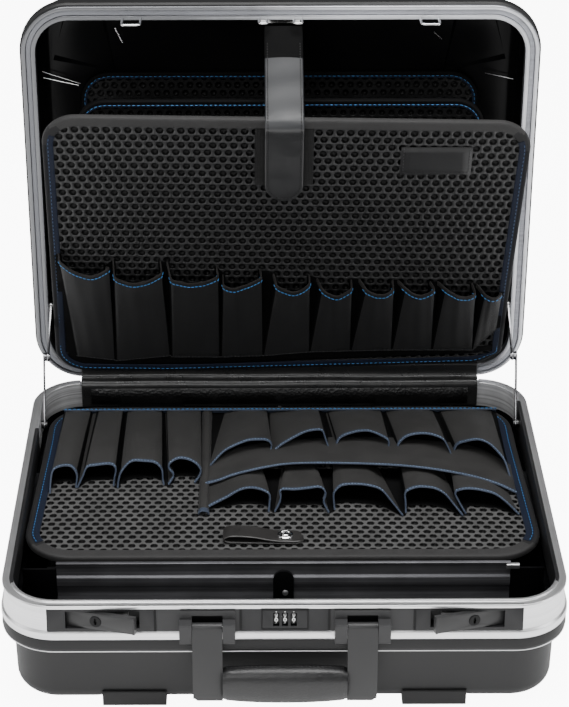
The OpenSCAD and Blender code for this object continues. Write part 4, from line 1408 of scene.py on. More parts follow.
@dataclass(frozen=True)
class FrontPockets:
    """Ten pockets with hems, black sheets painted as the shade under and between them, label pocket and hook patch.
    """

    where: BoardPlace = BoardPlace(5, 18.7)
    face: float = 3.2
    bulge: float = 8.6
    cloth_length: float = 0.135
    apron_rows: tuple[float, ...] = (-6, 0, 6, 10, 15)

    def build(self) -> None:
        """Makes every piece on the face of the front board."""
        matrix, face = self.where.matrix(), self.face
        cloth, hem, threads, foot = MeshData(), MeshData(), [], []
        for i, pocket in enumerate(FRONT_POCKETS):
            grid = pocket.grid(face, self.bulge, seed=i + 1)
            # Painted shade: the strips from each front edge back to its ear take the near-black cloth.
            area += cloth.sheet(grid, 0.35, 0.45, slot=[int(j < 4 or j > 19) for j in range(grid.shape[1] - 1)])
            strip = strip_of(grid, 4.0)
            hem.sheet(strip, 0.7, 0.7)
            normal = unit(np.cross(np.gradient(strip, axis=1), np.gradient(strip, axis=0)))
            outwards = np.where(normal[:, :, 2:] < 0, -normal, normal)
            threads.append((strip[-1] + outwards[-1] * 1.0)[3:-3])
            foot.append(np.array([[x, y + 1.5, face + 1.6] for x, y in pocket.foot]))
        pieces = [cloth.build("front_pockets", [CLOTH_DARK, SHADE_AND_HEM_CLOTH], 50),
                  hem.build("front_pocket_hems", [HEM_BROWN], 60),
                  stitches("front_pocket_stitches", threads, BLUE, 3.4, 2.9, 0.45),
                  stitches("front_pocket_seam", foot, DARK_THREAD, 3.0, 2.0, 0.4), hang(self.backing(), 0.0)]
        for piece in pieces:
            place(lean_out(piece, 0.0), matrix)
            done(piece, Body.FRONT_BOARD, "pocket_fabric", *(["board_front_pockets"] if piece is pieces[0] else []))
            self.crush(piece, matrix)
        self.flat_pieces(matrix)

    def backing(self) -> Piece:
        """Black sheets painted as the shade under the pockets' feet and between their sides.

        Returns:
            The cloth.
        """
        data, face = MeshData(), self.face
        shade_band = flat_grid(np.linspace(-196, 197, 40), self.apron_rows, face - 0.1)
        shade_band[:, :, 1] += 9 * np.clip((np.abs(shade_band[:, :, 0]) - 172) / 24, 0, 1) ** 2 * (1 - shade_band[:, :, 1] / 40)
        data.sheet(shade_band, 0.4, 0.5)
        sides = [((-199, 16), (-199, 140))]
        sides += [s for p in FRONT_POCKETS for s in ((p.foot[0], p.ears[0]), (p.foot[1], p.ears[1]))]
        sides.append(((200.5, 46), (200.5, 92)))
        for (a, b), (c, d) in zip(sides[::2], sides[1::2]):
            data.sheet(np.array([[[x + (x1 - x) * t + w, y + (y1 - y) * t, face + 0.3]
                                  for (x, y), (x1, y1), w in ((a, b, -2.0), (c, d, 2.0))]
                                 for t in np.linspace(0, 1, 14)]), 0.2, 0.2)
        return data.build("front_pocket_backing", [SHADE_AND_HEM_CLOTH], 50)

    def flat_pieces(self, matrix: Matrix) -> None:
        """The label pocket with its stitches and the hook patch.

        Args:
            matrix: The board's place.
        """
        label, patch = MeshData(), MeshData()
        label.sheet(flat_grid(np.linspace(102, 162, 8), np.linspace(233, 263, 6), 2.75), 0.7, 0.2)
        patch.sheet(flat_grid(np.linspace(-22, 27, 8), np.linspace(222, 284, 8), 2.75), 0.9, 0.2)
        line = resample(np.array([[104, 262, 3.5], [104, 235, 3.5], [160, 235, 3.5], [160, 262, 3.5]], float), 60)
        for piece, nodes in ((label.build("label_pouch", [LABEL], 60), ["label_pocket"]),
                             (stitches("label_stitches", [line], DARK_THREAD, 3.4, 2.4, 0.35), []),
                             (patch.build("hook_patch", [PATCH], 60), ["strap_patch"])):
            done(place(piece, matrix), Body.FRONT_BOARD, "pocket_fabric", *nodes)

    @staticmethod
    def crush(piece: Piece, matrix: Matrix) -> None:
        """Gives a soft piece its own copy of its mesh."""
        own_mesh(piece)


@dataclass(frozen=True)
class ClosingStrap:
    """The leather strap from the lid's front edge down over the front board."""

    half: float = 15.6
    centre: float = 2.5
    tip: float = 16.0
    top: tuple[Pair, ...] = ((187.0, 447.5), (184.0, 444.5), (150.0, 426.5), (120.0, 411.0))
    laid: tuple[Pair, ...] = ((291, 6.6), (276, 5.9), (258, 4.9), (228, 4.7), (206, 4.9))
    section: tuple[float, ...] = (-1, -0.97, -0.9, -0.74, -0.4, 0, 0.4, 0.74, 0.9, 0.97, 1)

    def on_board(self, up: float, out: float) -> Pair:
        """Place (y, z) of a point up the front board and out from its face."""
        p = BoardPlace(5, 18.7).matrix() @ Matrix.Translation((0, up * MM, out * MM)).translation
        return p.y / MM, p.z / MM

    def rows(self) -> tuple[Array, list[list[Array]], float]:
        """Cross-sections along the strap, its two lines of stitches, and its length.

        Returns:
            Array (rows, points, 3), two lists of points, millimetres.
        """
        path = [*self.top, *(self.on_board(*p) for p in self.laid)]
        line = smooth_line([[0, *p] for p in path], 70)[:, 1:]
        length = distances(line)
        end = float(length[-1])
        grid, seams, slope = [], [[], []], np.gradient(line, axis=0)
        for d in np.concatenate([np.linspace(0, end - self.tip, 46),
                                 end - self.tip + self.tip * np.sin(np.linspace(0.1, 1.52, 14))]):
            y, z, dy, dz = (float(np.interp(d, length, v)) for v in (*line.T, *slope.T))
            out = np.array([dz, -dy]) / math.hypot(dy, dz)
            w = self.half * math.sqrt(max(0.003, 1 - max(0.0, (d - end + self.tip) / self.tip) ** 2))
            row = []
            for s in self.section:
                lift = 1.3 * (1 - s * s) * w / self.half + 0.12 * math.sin(d * 0.21 + s)
                row.append([self.centre + w * s, y + out[0] * lift, z + out[1] * lift])
            grid.append(row)
            for side, k in enumerate((2, 8)):
                if 18 < d < end - 17:
                    seams[side].append(np.array(row[k]) + np.array([0, *out]) * 1.3)
        return np.array(grid), seams, end

    def build(self) -> None:
        """Makes the strap, its stitches and its turned-in end."""
        data, hem = MeshData(), MeshData()
        grid, seams, length = self.rows()
        area = data.sheet(grid, 1.0, 1.0)
        hem.sheet(grid[:10], 1.35, 1.2)
        strap = data.build("closing_strap", [STRAP, STRAP_TOP], 60)
        repaint(strap, lambda p: p.z > 392, 1)
        end = hem.build("strap_hem", [SHADE_AND_HEM_CLOTH], 60)
        turn = [(self.centre - 14 * math.cos(a),
                 *self.on_board(222.5 - 13.5 * math.sin(a), 4.9 + 1.0 + 1.3 * (1 - (0.9 * math.cos(a)) ** 2)))
                for a in np.linspace(0, math.pi, 22)]
        thread = stitches("strap_stitches", [np.array(v) for v in (*seams, turn)], BLACK_THREAD, 3.0, 2.1, 0.5)
        for piece, nodes in ((strap, ["strap"]), (thread, []), (end, [])):
            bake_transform(piece)
            listed(piece, "leatherette", *nodes)


@dataclass(frozen=True)
class ArchPocket:
    """A tray pocket: its mouth as points (x, y, height over the board) and its closed end."""

    mouth: tuple[Point, ...]
    back: tuple[float, float, float]
    back_height: float

    def grid(self, base: float, rows: int = 16, columns: int = 27, seed: int = 0) -> Array:
        """Surface from the mouth to the closed end.

        Args:
            base: Height of the board's face.
            rows: Rows from end to mouth.
            columns: Points along the mouth.
            seed: Seed of the creases.

        Returns:
            Array (rows, columns, 3).
        """
        mouth = smooth_line([(x, y, base + z) for x, y, z in self.mouth], columns)
        x0, x1, y = self.back
        rng = np.random.default_rng(seed)
        phase = rng.uniform(0, 6.28, 3)
        out = []
        share = (mouth[:, 0] - mouth[0, 0]) / (mouth[-1, 0] - mouth[0, 0])
        share = np.clip(share, 0, 1)
        height = (mouth[:, 2] - base) / max(1.0, float((mouth[:, 2] - base).max()))
        end = np.column_stack([x0 + (x1 - x0) * (0.12 * np.linspace(0, 1, columns) + 0.88 * share),
                               np.full(columns, y), base + self.back_height * height])
        for t in np.linspace(0, 1, rows):
            line = mouth + (end - mouth) * t
            line[:, 2] += 1.2 * np.sin(math.pi * t) * height
            line[:, 2] += 0.3 * height * np.sin(11 * t + phase[0]) * np.sin(7 * share + phase[1])
            out.append(line)
        return np.array(out[::-1])


TRAY_POCKETS = tuple(ArchPocket(*row) for row in (
    (((-201.5, 6, .4), (-201.2, 14, 7), (-199.5, 22, 13), (-192, 27, 15), (-184, 27, 14), (-179, 22, 9),
      (-179.5, 15, .4)), (-199.5, -174, 143), 4),
    (((-178, 15, .4), (-173.7, 21.6, 7.5), (-170.3, 27.1, 13.2), (-163.4, 28.7, 14.3), (-149.5, 30.2, 14.4),
      (-145.1, 27.5, 10.9), (-146.3, 21.5, 4.3), (-146.7, 17.9, .4)), (-173, -144.5, 143), 4),
    (((-143, 14.6, .4), (-142.2, 19.4, 5.6), (-139.7, 24.3, 10.8), (-131.9, 30.8, 16.4), (-121.5, 31.9, 16.6),
      (-111, 31.7, 15.3), (-104.9, 28, 10.4), (-103.9, 22.1, 3.7), (-103, 19.2, .4)), (-143.5, -107, 143), 4),
    (((-98.7, 19.2, .4), (-94.4, 24.9, 6.1), (-98.7, 28.7, 11), (-97.5, 32, 14.5), (-90.1, 35.4, 17.1),
      (-77.8, 34.7, 14.4), (-70.8, 30.5, 8.7), (-72.5, 25.6, 3.5), (-76, 22.3, .4)), (-106, -72.5, 143), 4),
    (((-64.2, 47.1, .4), (-56.3, 55.3, 5.7), (-48.3, 62.4, 9.7), (-32.3, 71.7, 12.4), (-22.5, 75, 11.8),
      (-12.6, 77.1, 10), (-8.2, 76.5, 6.2), (-8.6, 74, 3.5), (-10, 70.6, .4)), (-51, -12, 143), 4),
    (((-8.2, 70.5, .4), (-.1, 75.9, 5.5), (8.9, 80.1, 9.2), (18.9, 84.3, 12.9), (27, 86.6, 14.6),
      (37, 87.3, 14.2), (40.4, 81.9, 8), (43.9, 75.4, .4)), (-9.5, 41, 143), 4),
    (((49.5, 82.2, .4), (54.1, 87.3, 6.8), (65.8, 89.2, 10.9), (75.7, 89.1, 12.4), (83.7, 87.4, 11.8),
      (96.1, 81.9, 7.8), (96.9, 78.2, 3.7), (97.7, 75, .4)), (42.5, 95, 143), 4),
    (((104.1, 76.7, .4), (107.8, 80.8, 6.3), (115.8, 82.8, 11.4), (130, 81, 14.4), (143.9, 75, 12.8),
      (149, 69.1, 8), (153.1, 61, .4)), (96, 145, 143), 4),
    (((154.9, 71.2, .4), (157.5, 73.9, 6.1), (161.8, 73.1, 9.7), (175.2, 66.8, 16.2), (185, 58.4, 16.6),
      (193.7, 46.5, 12.8), (197.6, 39.4, 9), (201, 28, .4)), (146, 200, 143), 4),
    (((-65.6, -19.5, .4), (-56.1, -16.6, 4.6), (-47.5, -14.2, 8.1), (-35.5, -10.3, 13.2), (-23.5, -9.9, 14.6),
      (-11.5, -14.1, 12), (-10.7, -19.4, 6.2), (-11.6, -24.5, .4)), (-64, -16, 44), 2.5),
    (((-6.4, -24.6, .4), (-3, -20.6, 4.9), (-1.2, -16.6, 9.5), (-1.2, -12, 14.2), (10.8, -12.3, 14.8),
      (22, -12, 15.6), (33.1, -11.8, 16.2), (37.4, -15.4, 12.6), (35.6, -20.5, 6.8), (39.7, -26.4, .4)),
      (0, 33, 44), 5),
    (((45, -21.8, .4), (44.3, -17, 5.5), (44.3, -12.4, 10.7), (47, -10.4, 13.4), (51.3, -8.5, 16.3),
      (63.2, -9, 17.6), (75.2, -11.1, 17.4), (85.3, -14.6, 15.4), (93.6, -22.4, 8.8), (102.7, -31.5, .4)),
      (45, 86, 44), 6),
    (((105.6, -26.8, .4), (105.7, -21.1, 6.8), (105.9, -15.3, 13.3), (114.5, -13, 16.6), (123, -13.3, 17.2),
      (131.5, -14.7, 16.6), (139.9, -18.8, 13.3), (147.3, -25.6, 6.5), (153.9, -31.8, .4)), (104, 142, 44), 5),
    (((156.7, -28.7, .4), (151.8, -22.8, 6.8), (148.1, -16.3, 13.4), (153.8, -14.8, 15.8),
      (162.4, -14.7, 16.2), (170.9, -15.8, 15.4), (182.7, -18.4, 12.9), (192.7, -23.9, 7.3),
      (202, -30.6, .4)), (148, 190, 44), 3.5)))


@dataclass(frozen=True)
class TrayBoard:
    """The board over the base: foam, binding, pockets, cross band, strip and pull loop."""

    base: float = 87.8
    pocket_length: float = 0.125
    band_flat: Pair = (0.272, 0.085)
    strip_flat: Pair = (0.0136, 0.173)
    loop_width: float = 0.0165
    loop_y: float = -66.0
    size: BoardSize = BoardSize("tray_board", 424, 248, 40, 11, (9.08, 6.67), (3.3, 2.85), proud=0.8, navy=6.5)

    def widen(self, piece: Piece) -> Piece:
        """Widens a piece, drawn about the board's middle, towards the front by up to 2.4 %."""
        for v in piece.data.vertices:
            v.co.x *= 1 + 0.024 * min(1.0, max(0.0, (60 * MM - v.co.y) / 0.15))
        return piece

    def build(self) -> None:
        """Makes every piece of the tray."""
        board = FoamBoard(self.size, FOAM_TRAY, TAPE)
        matrix = Matrix.Translation((0, 32 * MM, 87 * MM))
        core = place(self.widen(board.core()), matrix)
        done(core, Body.TRAY, "board_fabric", "tray_board")
        edge = board.edge()
        # Painted shade: the tray's binding along its sides and back takes the darker copy of the tape; the front
        # keeps the lighter tape.
        repaint(edge, lambda p: p.y > -104, 2)
        thread = stitches("tray_stitches", [board.seam(lambda p: p[:, 1] > -101)], BLUE)
        for piece in (edge, board.piping(lambda p: p[:, 1] > -101), thread):
            done(place(self.widen(piece), matrix), Body.TRAY, "board_fabric")
        self.pockets()
        self.band()
        self.loop()

    def pockets(self) -> None:
        """All pockets as one cloth, their hems and stitches, and the black sheet painted as the shade under and
        between them.
        """
        cloth, floor, hem, threads, area, width = MeshData(), MeshData(), MeshData(), [], 0.0, 0.0
        for i, pocket in enumerate(TRAY_POCKETS):
            grid = pocket.grid(self.base, seed=40 + i)
            step = np.diff(grid[-1], axis=0)
            # Painted shade: the mouth's steep strips and the cloth's underside take the near-black cloth.
            shaded_walls = np.abs(step[:, 2]) > 1.7 * np.maximum(step[:, 0], 0)
            area += cloth.sheet(grid[:, ::-1], 0.35, 0.45, slot=[int(s) for s in shaded_walls[::-1]], under=1)
            width += float(distances(grid[-1])[-1])
            strip = strip_of(grid, 3.3)
            hem.sheet(strip, 0.75, 0.75)
            threads.append(strip[1] + np.array([0, -0.1, 0.8]))
        # Near-black sheets behind each row of mouths: painted shade under the pockets.
        for first, last, x0, x1, end in ((0, 4, -200.0, -72.5, 143.0), (4, 9, -63.0, 200.0, 143.0),
                                         (9, 14, -64.0, 190.0, 44.0)):
            mouth = np.concatenate([np.array(p.mouth)[:, :2] for p in TRAY_POCKETS[first:last]])
            x = np.maximum.accumulate(mouth[:, 0]) + np.arange(len(mouth)) * 1e-3
            at = np.linspace(x[0] + 0.5, x[-1] - 0.5, 90)
            front = np.interp(at, x, mouth[:, 1]) - 0.8
            ends = np.linspace(x0, x1, 90)
            floor.sheet(np.array([[[a + (b - a) * q, f + (end - f) * q, self.base + 0.3]
                                   for a, b, f in zip(at, ends, front)] for q in (0.0, 0.03, 0.3, 0.65, 1.0)]),
                        0.15, 0.15)
        tape = [[[x, y, self.base + z] for x in np.linspace(-199, 200, 60)]
                for y, z in ((143.4, 0.6), (143.2, 4.2), (142.6, 5.0), (140.6, 5.2), (140.0, 4.9))]
        hem.sheet(np.array(tape), 0.3, 0.3)
        line = [[x, 141.6, self.base + 5.6] for x in np.linspace(-198, 199, 120)]
        pieces = [cloth.build("tray_pockets", [CLOTH, SHADE_AND_HEM_CLOTH], 50), hem.build("tray_pocket_hems", [HEM], 60),
                  stitches("tray_pocket_stitches", threads, PALE_BLUE, 2.7, 1.7, 0.32),
                  stitches("tray_back_stitches", [np.array(line)], BLUE, 4.0, 3.0, 0.4),
                  floor.build("tray_pocket_lining", [SHADE_AND_HEM_CLOTH], 50)]
        done(pieces[0], Body.TRAY, "pocket_fabric", "tray_pockets_left", "tray_pockets_right")
        for piece in pieces[1:]:
            done(piece, Body.TRAY, "pocket_fabric")
        for piece in pieces:
            self.crush(piece)

    def crush(self, piece: Piece) -> None:
        """Gives a soft piece its own copy of its mesh."""
        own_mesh(piece)

    def band(self) -> None:
        """The padded cross band over the lower pockets and the upright strip."""
        front = smooth_line([(-66, 15, 91.4), (-55, 16, 94), (-41, 20.2, 97.4), (-14.7, 24.8, 101.7),
            (11.6, 28, 103.7), (55.4, 27.8, 103.8), (99, 25, 103.4), (129.4, 20.6, 102.4), (159.7, 15, 99.5),
            (185.2, 7.5, 95.6), (203, 2, 89.4)], 60)
        back = smooth_line([(-66, 58, 88.4), (-30, 84, 88.6), (30, 95, 88.8), (75, 98, 88.8), (130, 92, 88.8),
                            (175, 80, 88.6), (203, 50, 88.4)], 60)
        rows = []
        for t in np.linspace(0, 1, 14):
            line = back + (front - back) * t
            line[:, 2] = back[:, 2] + (front[:, 2] - back[:, 2]) * t ** 1.5
            rows.append(line)
        grid = np.array(rows)
        data, hem = MeshData(), MeshData()
        area = data.sheet(grid, 0.5, 0.5)
        strip = strip_of(grid, 3.6)
        hem.sheet(strip, 0.8, 0.8)
        piece = data.build("tray_cross_band", [CLOTH], 60)
        done(piece, Body.TRAY, "pocket_fabric", "tray_band")
        edge = hem.build("tray_band_hem", [HEM], 60)
        thread = stitches("tray_band_stitches", [strip[1] + np.array([0, 0, 0.85])], PALE_BLUE, 2.7, 1.7, 0.32)
        upright = MeshData()
        cols = [(-71.5, 88.2), (-70.8, 90.6), (-69, 91.4), (-67.3, 91.6), (-65.5, 91.4), (-63.8, 90.6), (-63, 88.2)]
        upright.sheet(np.array([[[x, y, z] for x, z in cols] for y in np.linspace(-25, 144, 30)]), 0.5, 0.5)
        upright.sheet(np.array([[[x, y, z + 0.2] for x, z in cols] for y in np.linspace(-29, -24, 4)]), 0.7, 0.7,
            slot=1)
        strip_piece = upright.build("tray_upright_strip", [CLOTH, HEM], 60)
        side = [np.array([[x, y, 91.55] for y in np.linspace(-28, 142, 40)]) for x in (-70.6, -63.9)]
        seams = stitches("tray_strip_stitches", side, DARK_THREAD, 2.6, 1.7, 0.3)
        for one in (edge, thread, strip_piece, seams):
            done(one, Body.TRAY, "pocket_fabric")
        for one in (piece, edge, thread, strip_piece, seams):
            self.crush(one)

    def loop(self) -> None:
        """The leather pull loop, folded over and held by a press stud."""
        z = self.base
        path = smooth_line([(17, z + 1.0), (4, z + 1.0), (-14, z + 0.9), (-34, z + 0.9), (-46, z + 1.4),
            (-49.5, z + 3.8), (-46, z + 6.4), (-38, z + 7.2), (-24, z + 6.2), (-10, z + 3.6), (-2, z + 2.8),
            (8, z + 2.7), (15, z + 2.7)], 70)
        grid = []
        for i, (x, h) in enumerate(path):
            w = 8.0
            if x > 10 and (i < 12 or i > 58):
                w = 8.0 * math.sqrt(max(0.02, 1 - ((x - 10) / 7.4) ** 2))
            grid.append([[x, self.loop_y + w * s - 0.03 * (x - 2), h] for s in (-1, -0.94, -0.6, 0, 0.6, 0.94, 1)])
        data = MeshData()
        area = data.sheet(np.array(grid), 0.7, 0.7)
        piece = data.build("pull_strap", [LOOP], 60)
        done(piece, Body.TRAY, "leatherette", "pull_loop")
        stud = MeshData()
        outline = [(0.01, 2.6), (1.6, 2.6), (2.1, 2.2), (2.3, 1.6), (3.2, 1.5), (3.6, 2.2), (4.4, 2.3), (5.2, 1.7),
                   (5.4, 0.9), (5.4, 0.0), (0.01, 0.0)]
        profile = fillet(outline, 0.25, closed=False, steps=2)
        rings = np.array([[[2 + 1.25 * r * math.cos(t), self.loop_y + 1.25 * r * math.sin(t), z + 3.2 + h]
                           for r, h in profile] for t in turns(36)])
        stud.sweep(rings, closed=True, open_section=True)
        done(stud.build("press_stud_cap", [CHROME], 30), Body.TRAY, "steel", "press_stud")


@dataclass(frozen=True)
class CaseShells:
    """The two moulded shells and their aluminium rims."""

    wall: float = -5.6
    rear_gap: tuple[Point, Point] = ((-186.8, 168, 100.6), (186.8, 190, 104.6))
    corner_low: tuple[Pair, ...] = ((146.5, 101.5), (203, 112.4), (193, 151), (156, 161))
    corner_high: tuple[Pair, ...] = ((148.5, 103.5), (202, 118), (192, 150), (160, 160))

    @property
    def rim(self) -> Outline:
        """The line that all four profiles are swept round."""
        return Outline(CASE.width, CASE.depth, CASE.corner, 24)

    @property
    def inner(self) -> float:
        """Where the rounding of the wall's foot ends."""
        return self.wall - CASE.bottom_round

    def build(self) -> None:
        """Makes the base and the lid."""
        self.base_shell()
        self.base_frame()
        self.lid_shell()
        self.lid_frame()

    def skin(self, name: str, outside: list[Pair], inside: list[Pair], radii: list[float]) -> Piece:
        """Sweeps a shell whose inside has its own finish.

        Args:
            name: The piece's name.
            outside: Profile of the outer side.
            inside: Profile of the inner side.
            radii: Rounding of each corner.

        Returns:
            The shell.
        """
        profile = fillet(outside + inside, radii, closed=False, steps=3)
        split = int(np.argmin(np.abs(profile - inside[0]).sum(1)))
        data = MeshData()
        data.sweep(self.rim.rings(profile), closed=True, slot=[int(j >= split) for j in range(len(profile))],
                   open_section=True)
        return data.build(name, [SHELL_OUT, SHELL_IN])

    @staticmethod
    def lock_openings() -> list[Piece]:
        """Cutters through the front for the lock housings."""
        spans = ((107.8, 180.2, -10.5), (-180.2, -107.8, -10.5), (-16.2, 16.2, -9.3))
        return [block(box_corners((a, -8, t), (b, 14, 8.3)), CASE.band_matrix()) for a, b, t in spans]

    def base_shell(self) -> None:
        """The tub: outer floor edge, up the outside, over the rim, down the inside; and its bright bead."""
        outside = [*arc(self.inner, 16, CASE.bottom_round, -90, 0, 10), (-5, 59), (2.6, 59), (3.5, 59.5), (4.3, 62),
                   (3.4, 70.6), (-2.2, 70.6), (-2.2, 99.2)]
        inside = [(-4.8, 99.2), (-4.8, 68), (1.2, 68), (1.4, 61.6), (-8, 61.6), *arc(self.inner, 20, 11, 0, -90, 8)]
        radii = [0] * 11 + [1.2, 0.5, 0.8, 1.0, 0.6, 0.3, 0.2] + [0.2, 0.3, 0.3, 0.3, 1.0] + [0] * 9
        shell = self.skin("case_base_shell", outside, inside, radii)
        recess = block([(-158, -400, 1), (158, -400, 1), (158, 400, 1), (-158, 400, 1),
                        (-150, -400, 6.5), (150, -400, 6.5), (150, 400, 6.5), (-150, 400, 6.5)])
        cut(shell, [recess, *self.lock_openings()])
        done(shell, Body.BASE, "shell", "base_shell")
        bead = MeshData()
        bead.sweep(self.rim.rings(np.array(arc(3.35, 59.45, 0.55, 0, 315, 7))), closed=True)
        done(bead.build("case_shoulder_bead", [ALUMINIUM], 60), Body.BASE, "frame")

    def base_frame(self) -> None:
        """The slanted front band, the grooved rim and the inner web, as one aluminium profile."""
        top = CASE.rim_z
        points = [(1.6, top + 0.2), (2.3, top - 0.6), (2.3, top - 2.6), (0.4, top - 3), (2.4, top - 23),
                  (4.2, top - 24.5), (4.4, top - 29.5), (4, top - 31), (2, top - 31), (2.2, top - 25.4),
                  (0.6, top - 23.4), (-1.8, top - 2.4), (-5, top - 2.4), (-5, top - 24), (-7, top - 24),
                  (-7, top + 1), (-4.2, top + 1), (-3.8, top)]
        radii = [0.5, 0.5, 0.7, 0.3, 0.8, 1.2, 1.2, 0.6, 0.3, 0.3, 0.3, 0.3, 0.3, 0.2, 0.2, 0.6, 0.5, 0.3]
        profile = fillet(points, radii, steps=3)
        web = (np.abs(profile[:, 0] + 7) < 0.02) & (np.abs(np.roll(profile[:, 0], -1) + 7) < 0.02)
        data = MeshData()
        data.sweep(self.rim.rings(profile), closed=True, slot=[int(w) for w in web])
        band = data.build("case_base_frame", [ALUMINIUM, WEB_LIT, WEB_SHADE], 30)
        # Painted shade: the web in front of y 0.115 m, and the faces 3.6 to 8 mm in from each side end between y
        # -0.15 and 0.115 m, take the dark copy; the web behind keeps the light copy.
        for face in band.data.polygons:
            side = min(abs(face.center.x) - CASE.width / 2 * MM, 0.0)
            if face.center.y < 0.115 and (face.material_index == 1
                                          or -0.008 < side < -0.0036 and face.center.y > -0.15):
                face.material_index = 2
        cut(band, [block(box_corners(*self.rear_gap)), *self.lock_openings()])
        done(band, Body.BASE, "frame", "base_frame")

    def lid_shell(self) -> None:
        """The lid's shell, drawn closed, with its cross-shaped low field and thinned corners."""
        foot, high = CASE.rim_z + 3.8, CASE.rim_z + CASE.lid_depth
        skirt = [(0.8, foot), (2.3, foot + 2), (2.5, foot + 10.4), (1.9, foot + 11.6), (0.4, foot + 12),
                 (-5, foot + 12)]
        outside = [*arc(self.inner, high - 14, 14, 90, 0, 10), *skirt[::-1]]
        inside = [(-9.6, foot), (-9.6, foot + 2.4), (-1.6, foot + 2.4), (-1, foot + 9.4), (-8, foot + 9.4),
                  *arc(self.inner, high - 16, 11, 0, 90, 8)]
        radii = [0] * 11 + [1.0, 0.3, 0.5, 0.6, 0.5, 0.2] + [0.2, 0.3, 0.3, 0.3, 1.0] + [0] * 9
        lid = self.skin("case_lid_shell", outside, inside, radii)
        z0, z1, floor = high - CASE.pad_rise, high + 1, high - CASE.floor_t
        cutters = [block(box_corners((-CASE.pad_x, -400, z0), (CASE.pad_x, 400, z1), (3.0, 0.0))),
                   block(box_corners((-400, -CASE.pad_y, z0 + 0.01), (400, CASE.pad_y, z1), (0.0, 3.0)))]
        for sx, sy in ((-1, -1), (-1, 1), (1, -1), (1, 1)):
            corners = ([(sx * x, sy * y, floor - 0.6) for x, y in self.corner_low]
                       + [(sx * x, sy * y, floor + 2.1) for x, y in self.corner_high])
            cutters.append(block(corners, slot=1))
        done(place(cut(lid, cutters), CASE.lid_matrix()), Body.LID, "shell", "lid_shell")

    def lid_frame(self) -> None:
        """The lid's narrow aluminium profile, and thin chrome wires on the panel inside, painted highlights along its
        step edges.
        """
        top, z = CASE.rim_z, CASE.rim_z + 0.4
        points = [(0, z), (0.8, top + 3.7), (-9.8, top + 3.7), (-10.4, top + 4.3), (-10.4, top + 8), (-12, top + 8),
                  (-12, z), (-8, z), (-7.8, z + 1.9), (-3.4, z + 1.9), (-3.2, z)]
        radii = [0.9, 0.5, 0.2, 0.2, 0.2, 0.2, 0.5, 0.25, 0.3, 0.3, 0.25]
        data, glint_lines = MeshData(), MeshData()
        data.sweep(self.rim.rings(fillet(points, radii, steps=3)), closed=True)
        profile = data.build("case_lid_frame", [LID_ALUMINIUM], 30)
        done(place(profile, CASE.lid_matrix()), Body.LID, "frame", "lid_frame")
        # Painted highlight: thin chrome wires where glints run along the inner panel's steps.
        for a, b in (((-212.4, 388.6), (-178.8, 377.4)), ((-212.2, 383.0), (-180.7, 375.6)),
                     ((-146.3, 429.7), (-139.7, 415.7)), ((136.7, 425.1), (144.1, 418.5)),
                     ((183.9, 386.2), (210.3, 380.4))):
            path = np.linspace((a[0], 235.6, a[1]), (b[0], 235.6, b[1]), 8)
            glint_lines.sweep(tube(path, 0.5, 8), closed=False)
        done(glint_lines.build("lid_panel_ribs", [CHROME], 60), Body.LID, "shell")


@dataclass(frozen=True)
class HingeCover:
    """One sheet of grained leatherette over the hinge, from the base wall to the lid rim."""

    width: float = 0.3694
    path: tuple[Pair, ...] = ((171.9, 79), (171.9, 90), (171.8, 97), (172.3, 101), (174.4, 103.9), (177.6, 105.2),
                              (180.2, 107.2), (181.3, 110.5), (181.5, 115), (182.0, 117.8), (184.6, 118.2))

    def build(self) -> None:
        """Makes the cover and the darker panel under its edge."""
        path = smooth_line(self.path, 50)
        xs = np.concatenate([[-184.7, -184.2, -182], np.linspace(-178, 178, 30), [182, 184.2, 184.7]])
        grid = np.array([[[x, y, z + 0.25 * math.sin(x * 0.045) + 0.12 * math.sin(x * 0.23 + y)] for x in xs]
                         for y, z in path])
        data, panel = MeshData(), MeshData()
        area = data.sheet(grid, 0.4, 0.4)
        piece = data.build("hinge_cover", [COVER], 60)
        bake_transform(piece)
        listed(piece, "leatherette", "hinge_cover_base", "hinge_cover_lid")
        panel.sheet(np.array([[[x, 171.2, z] for x in np.linspace(-176, 176, 30)] for z in (82, 98)]), 0.5, 0.3)
        done(panel.build("hinge_cover_panel", [PANEL], 60), Body.BASE, "leatherette")


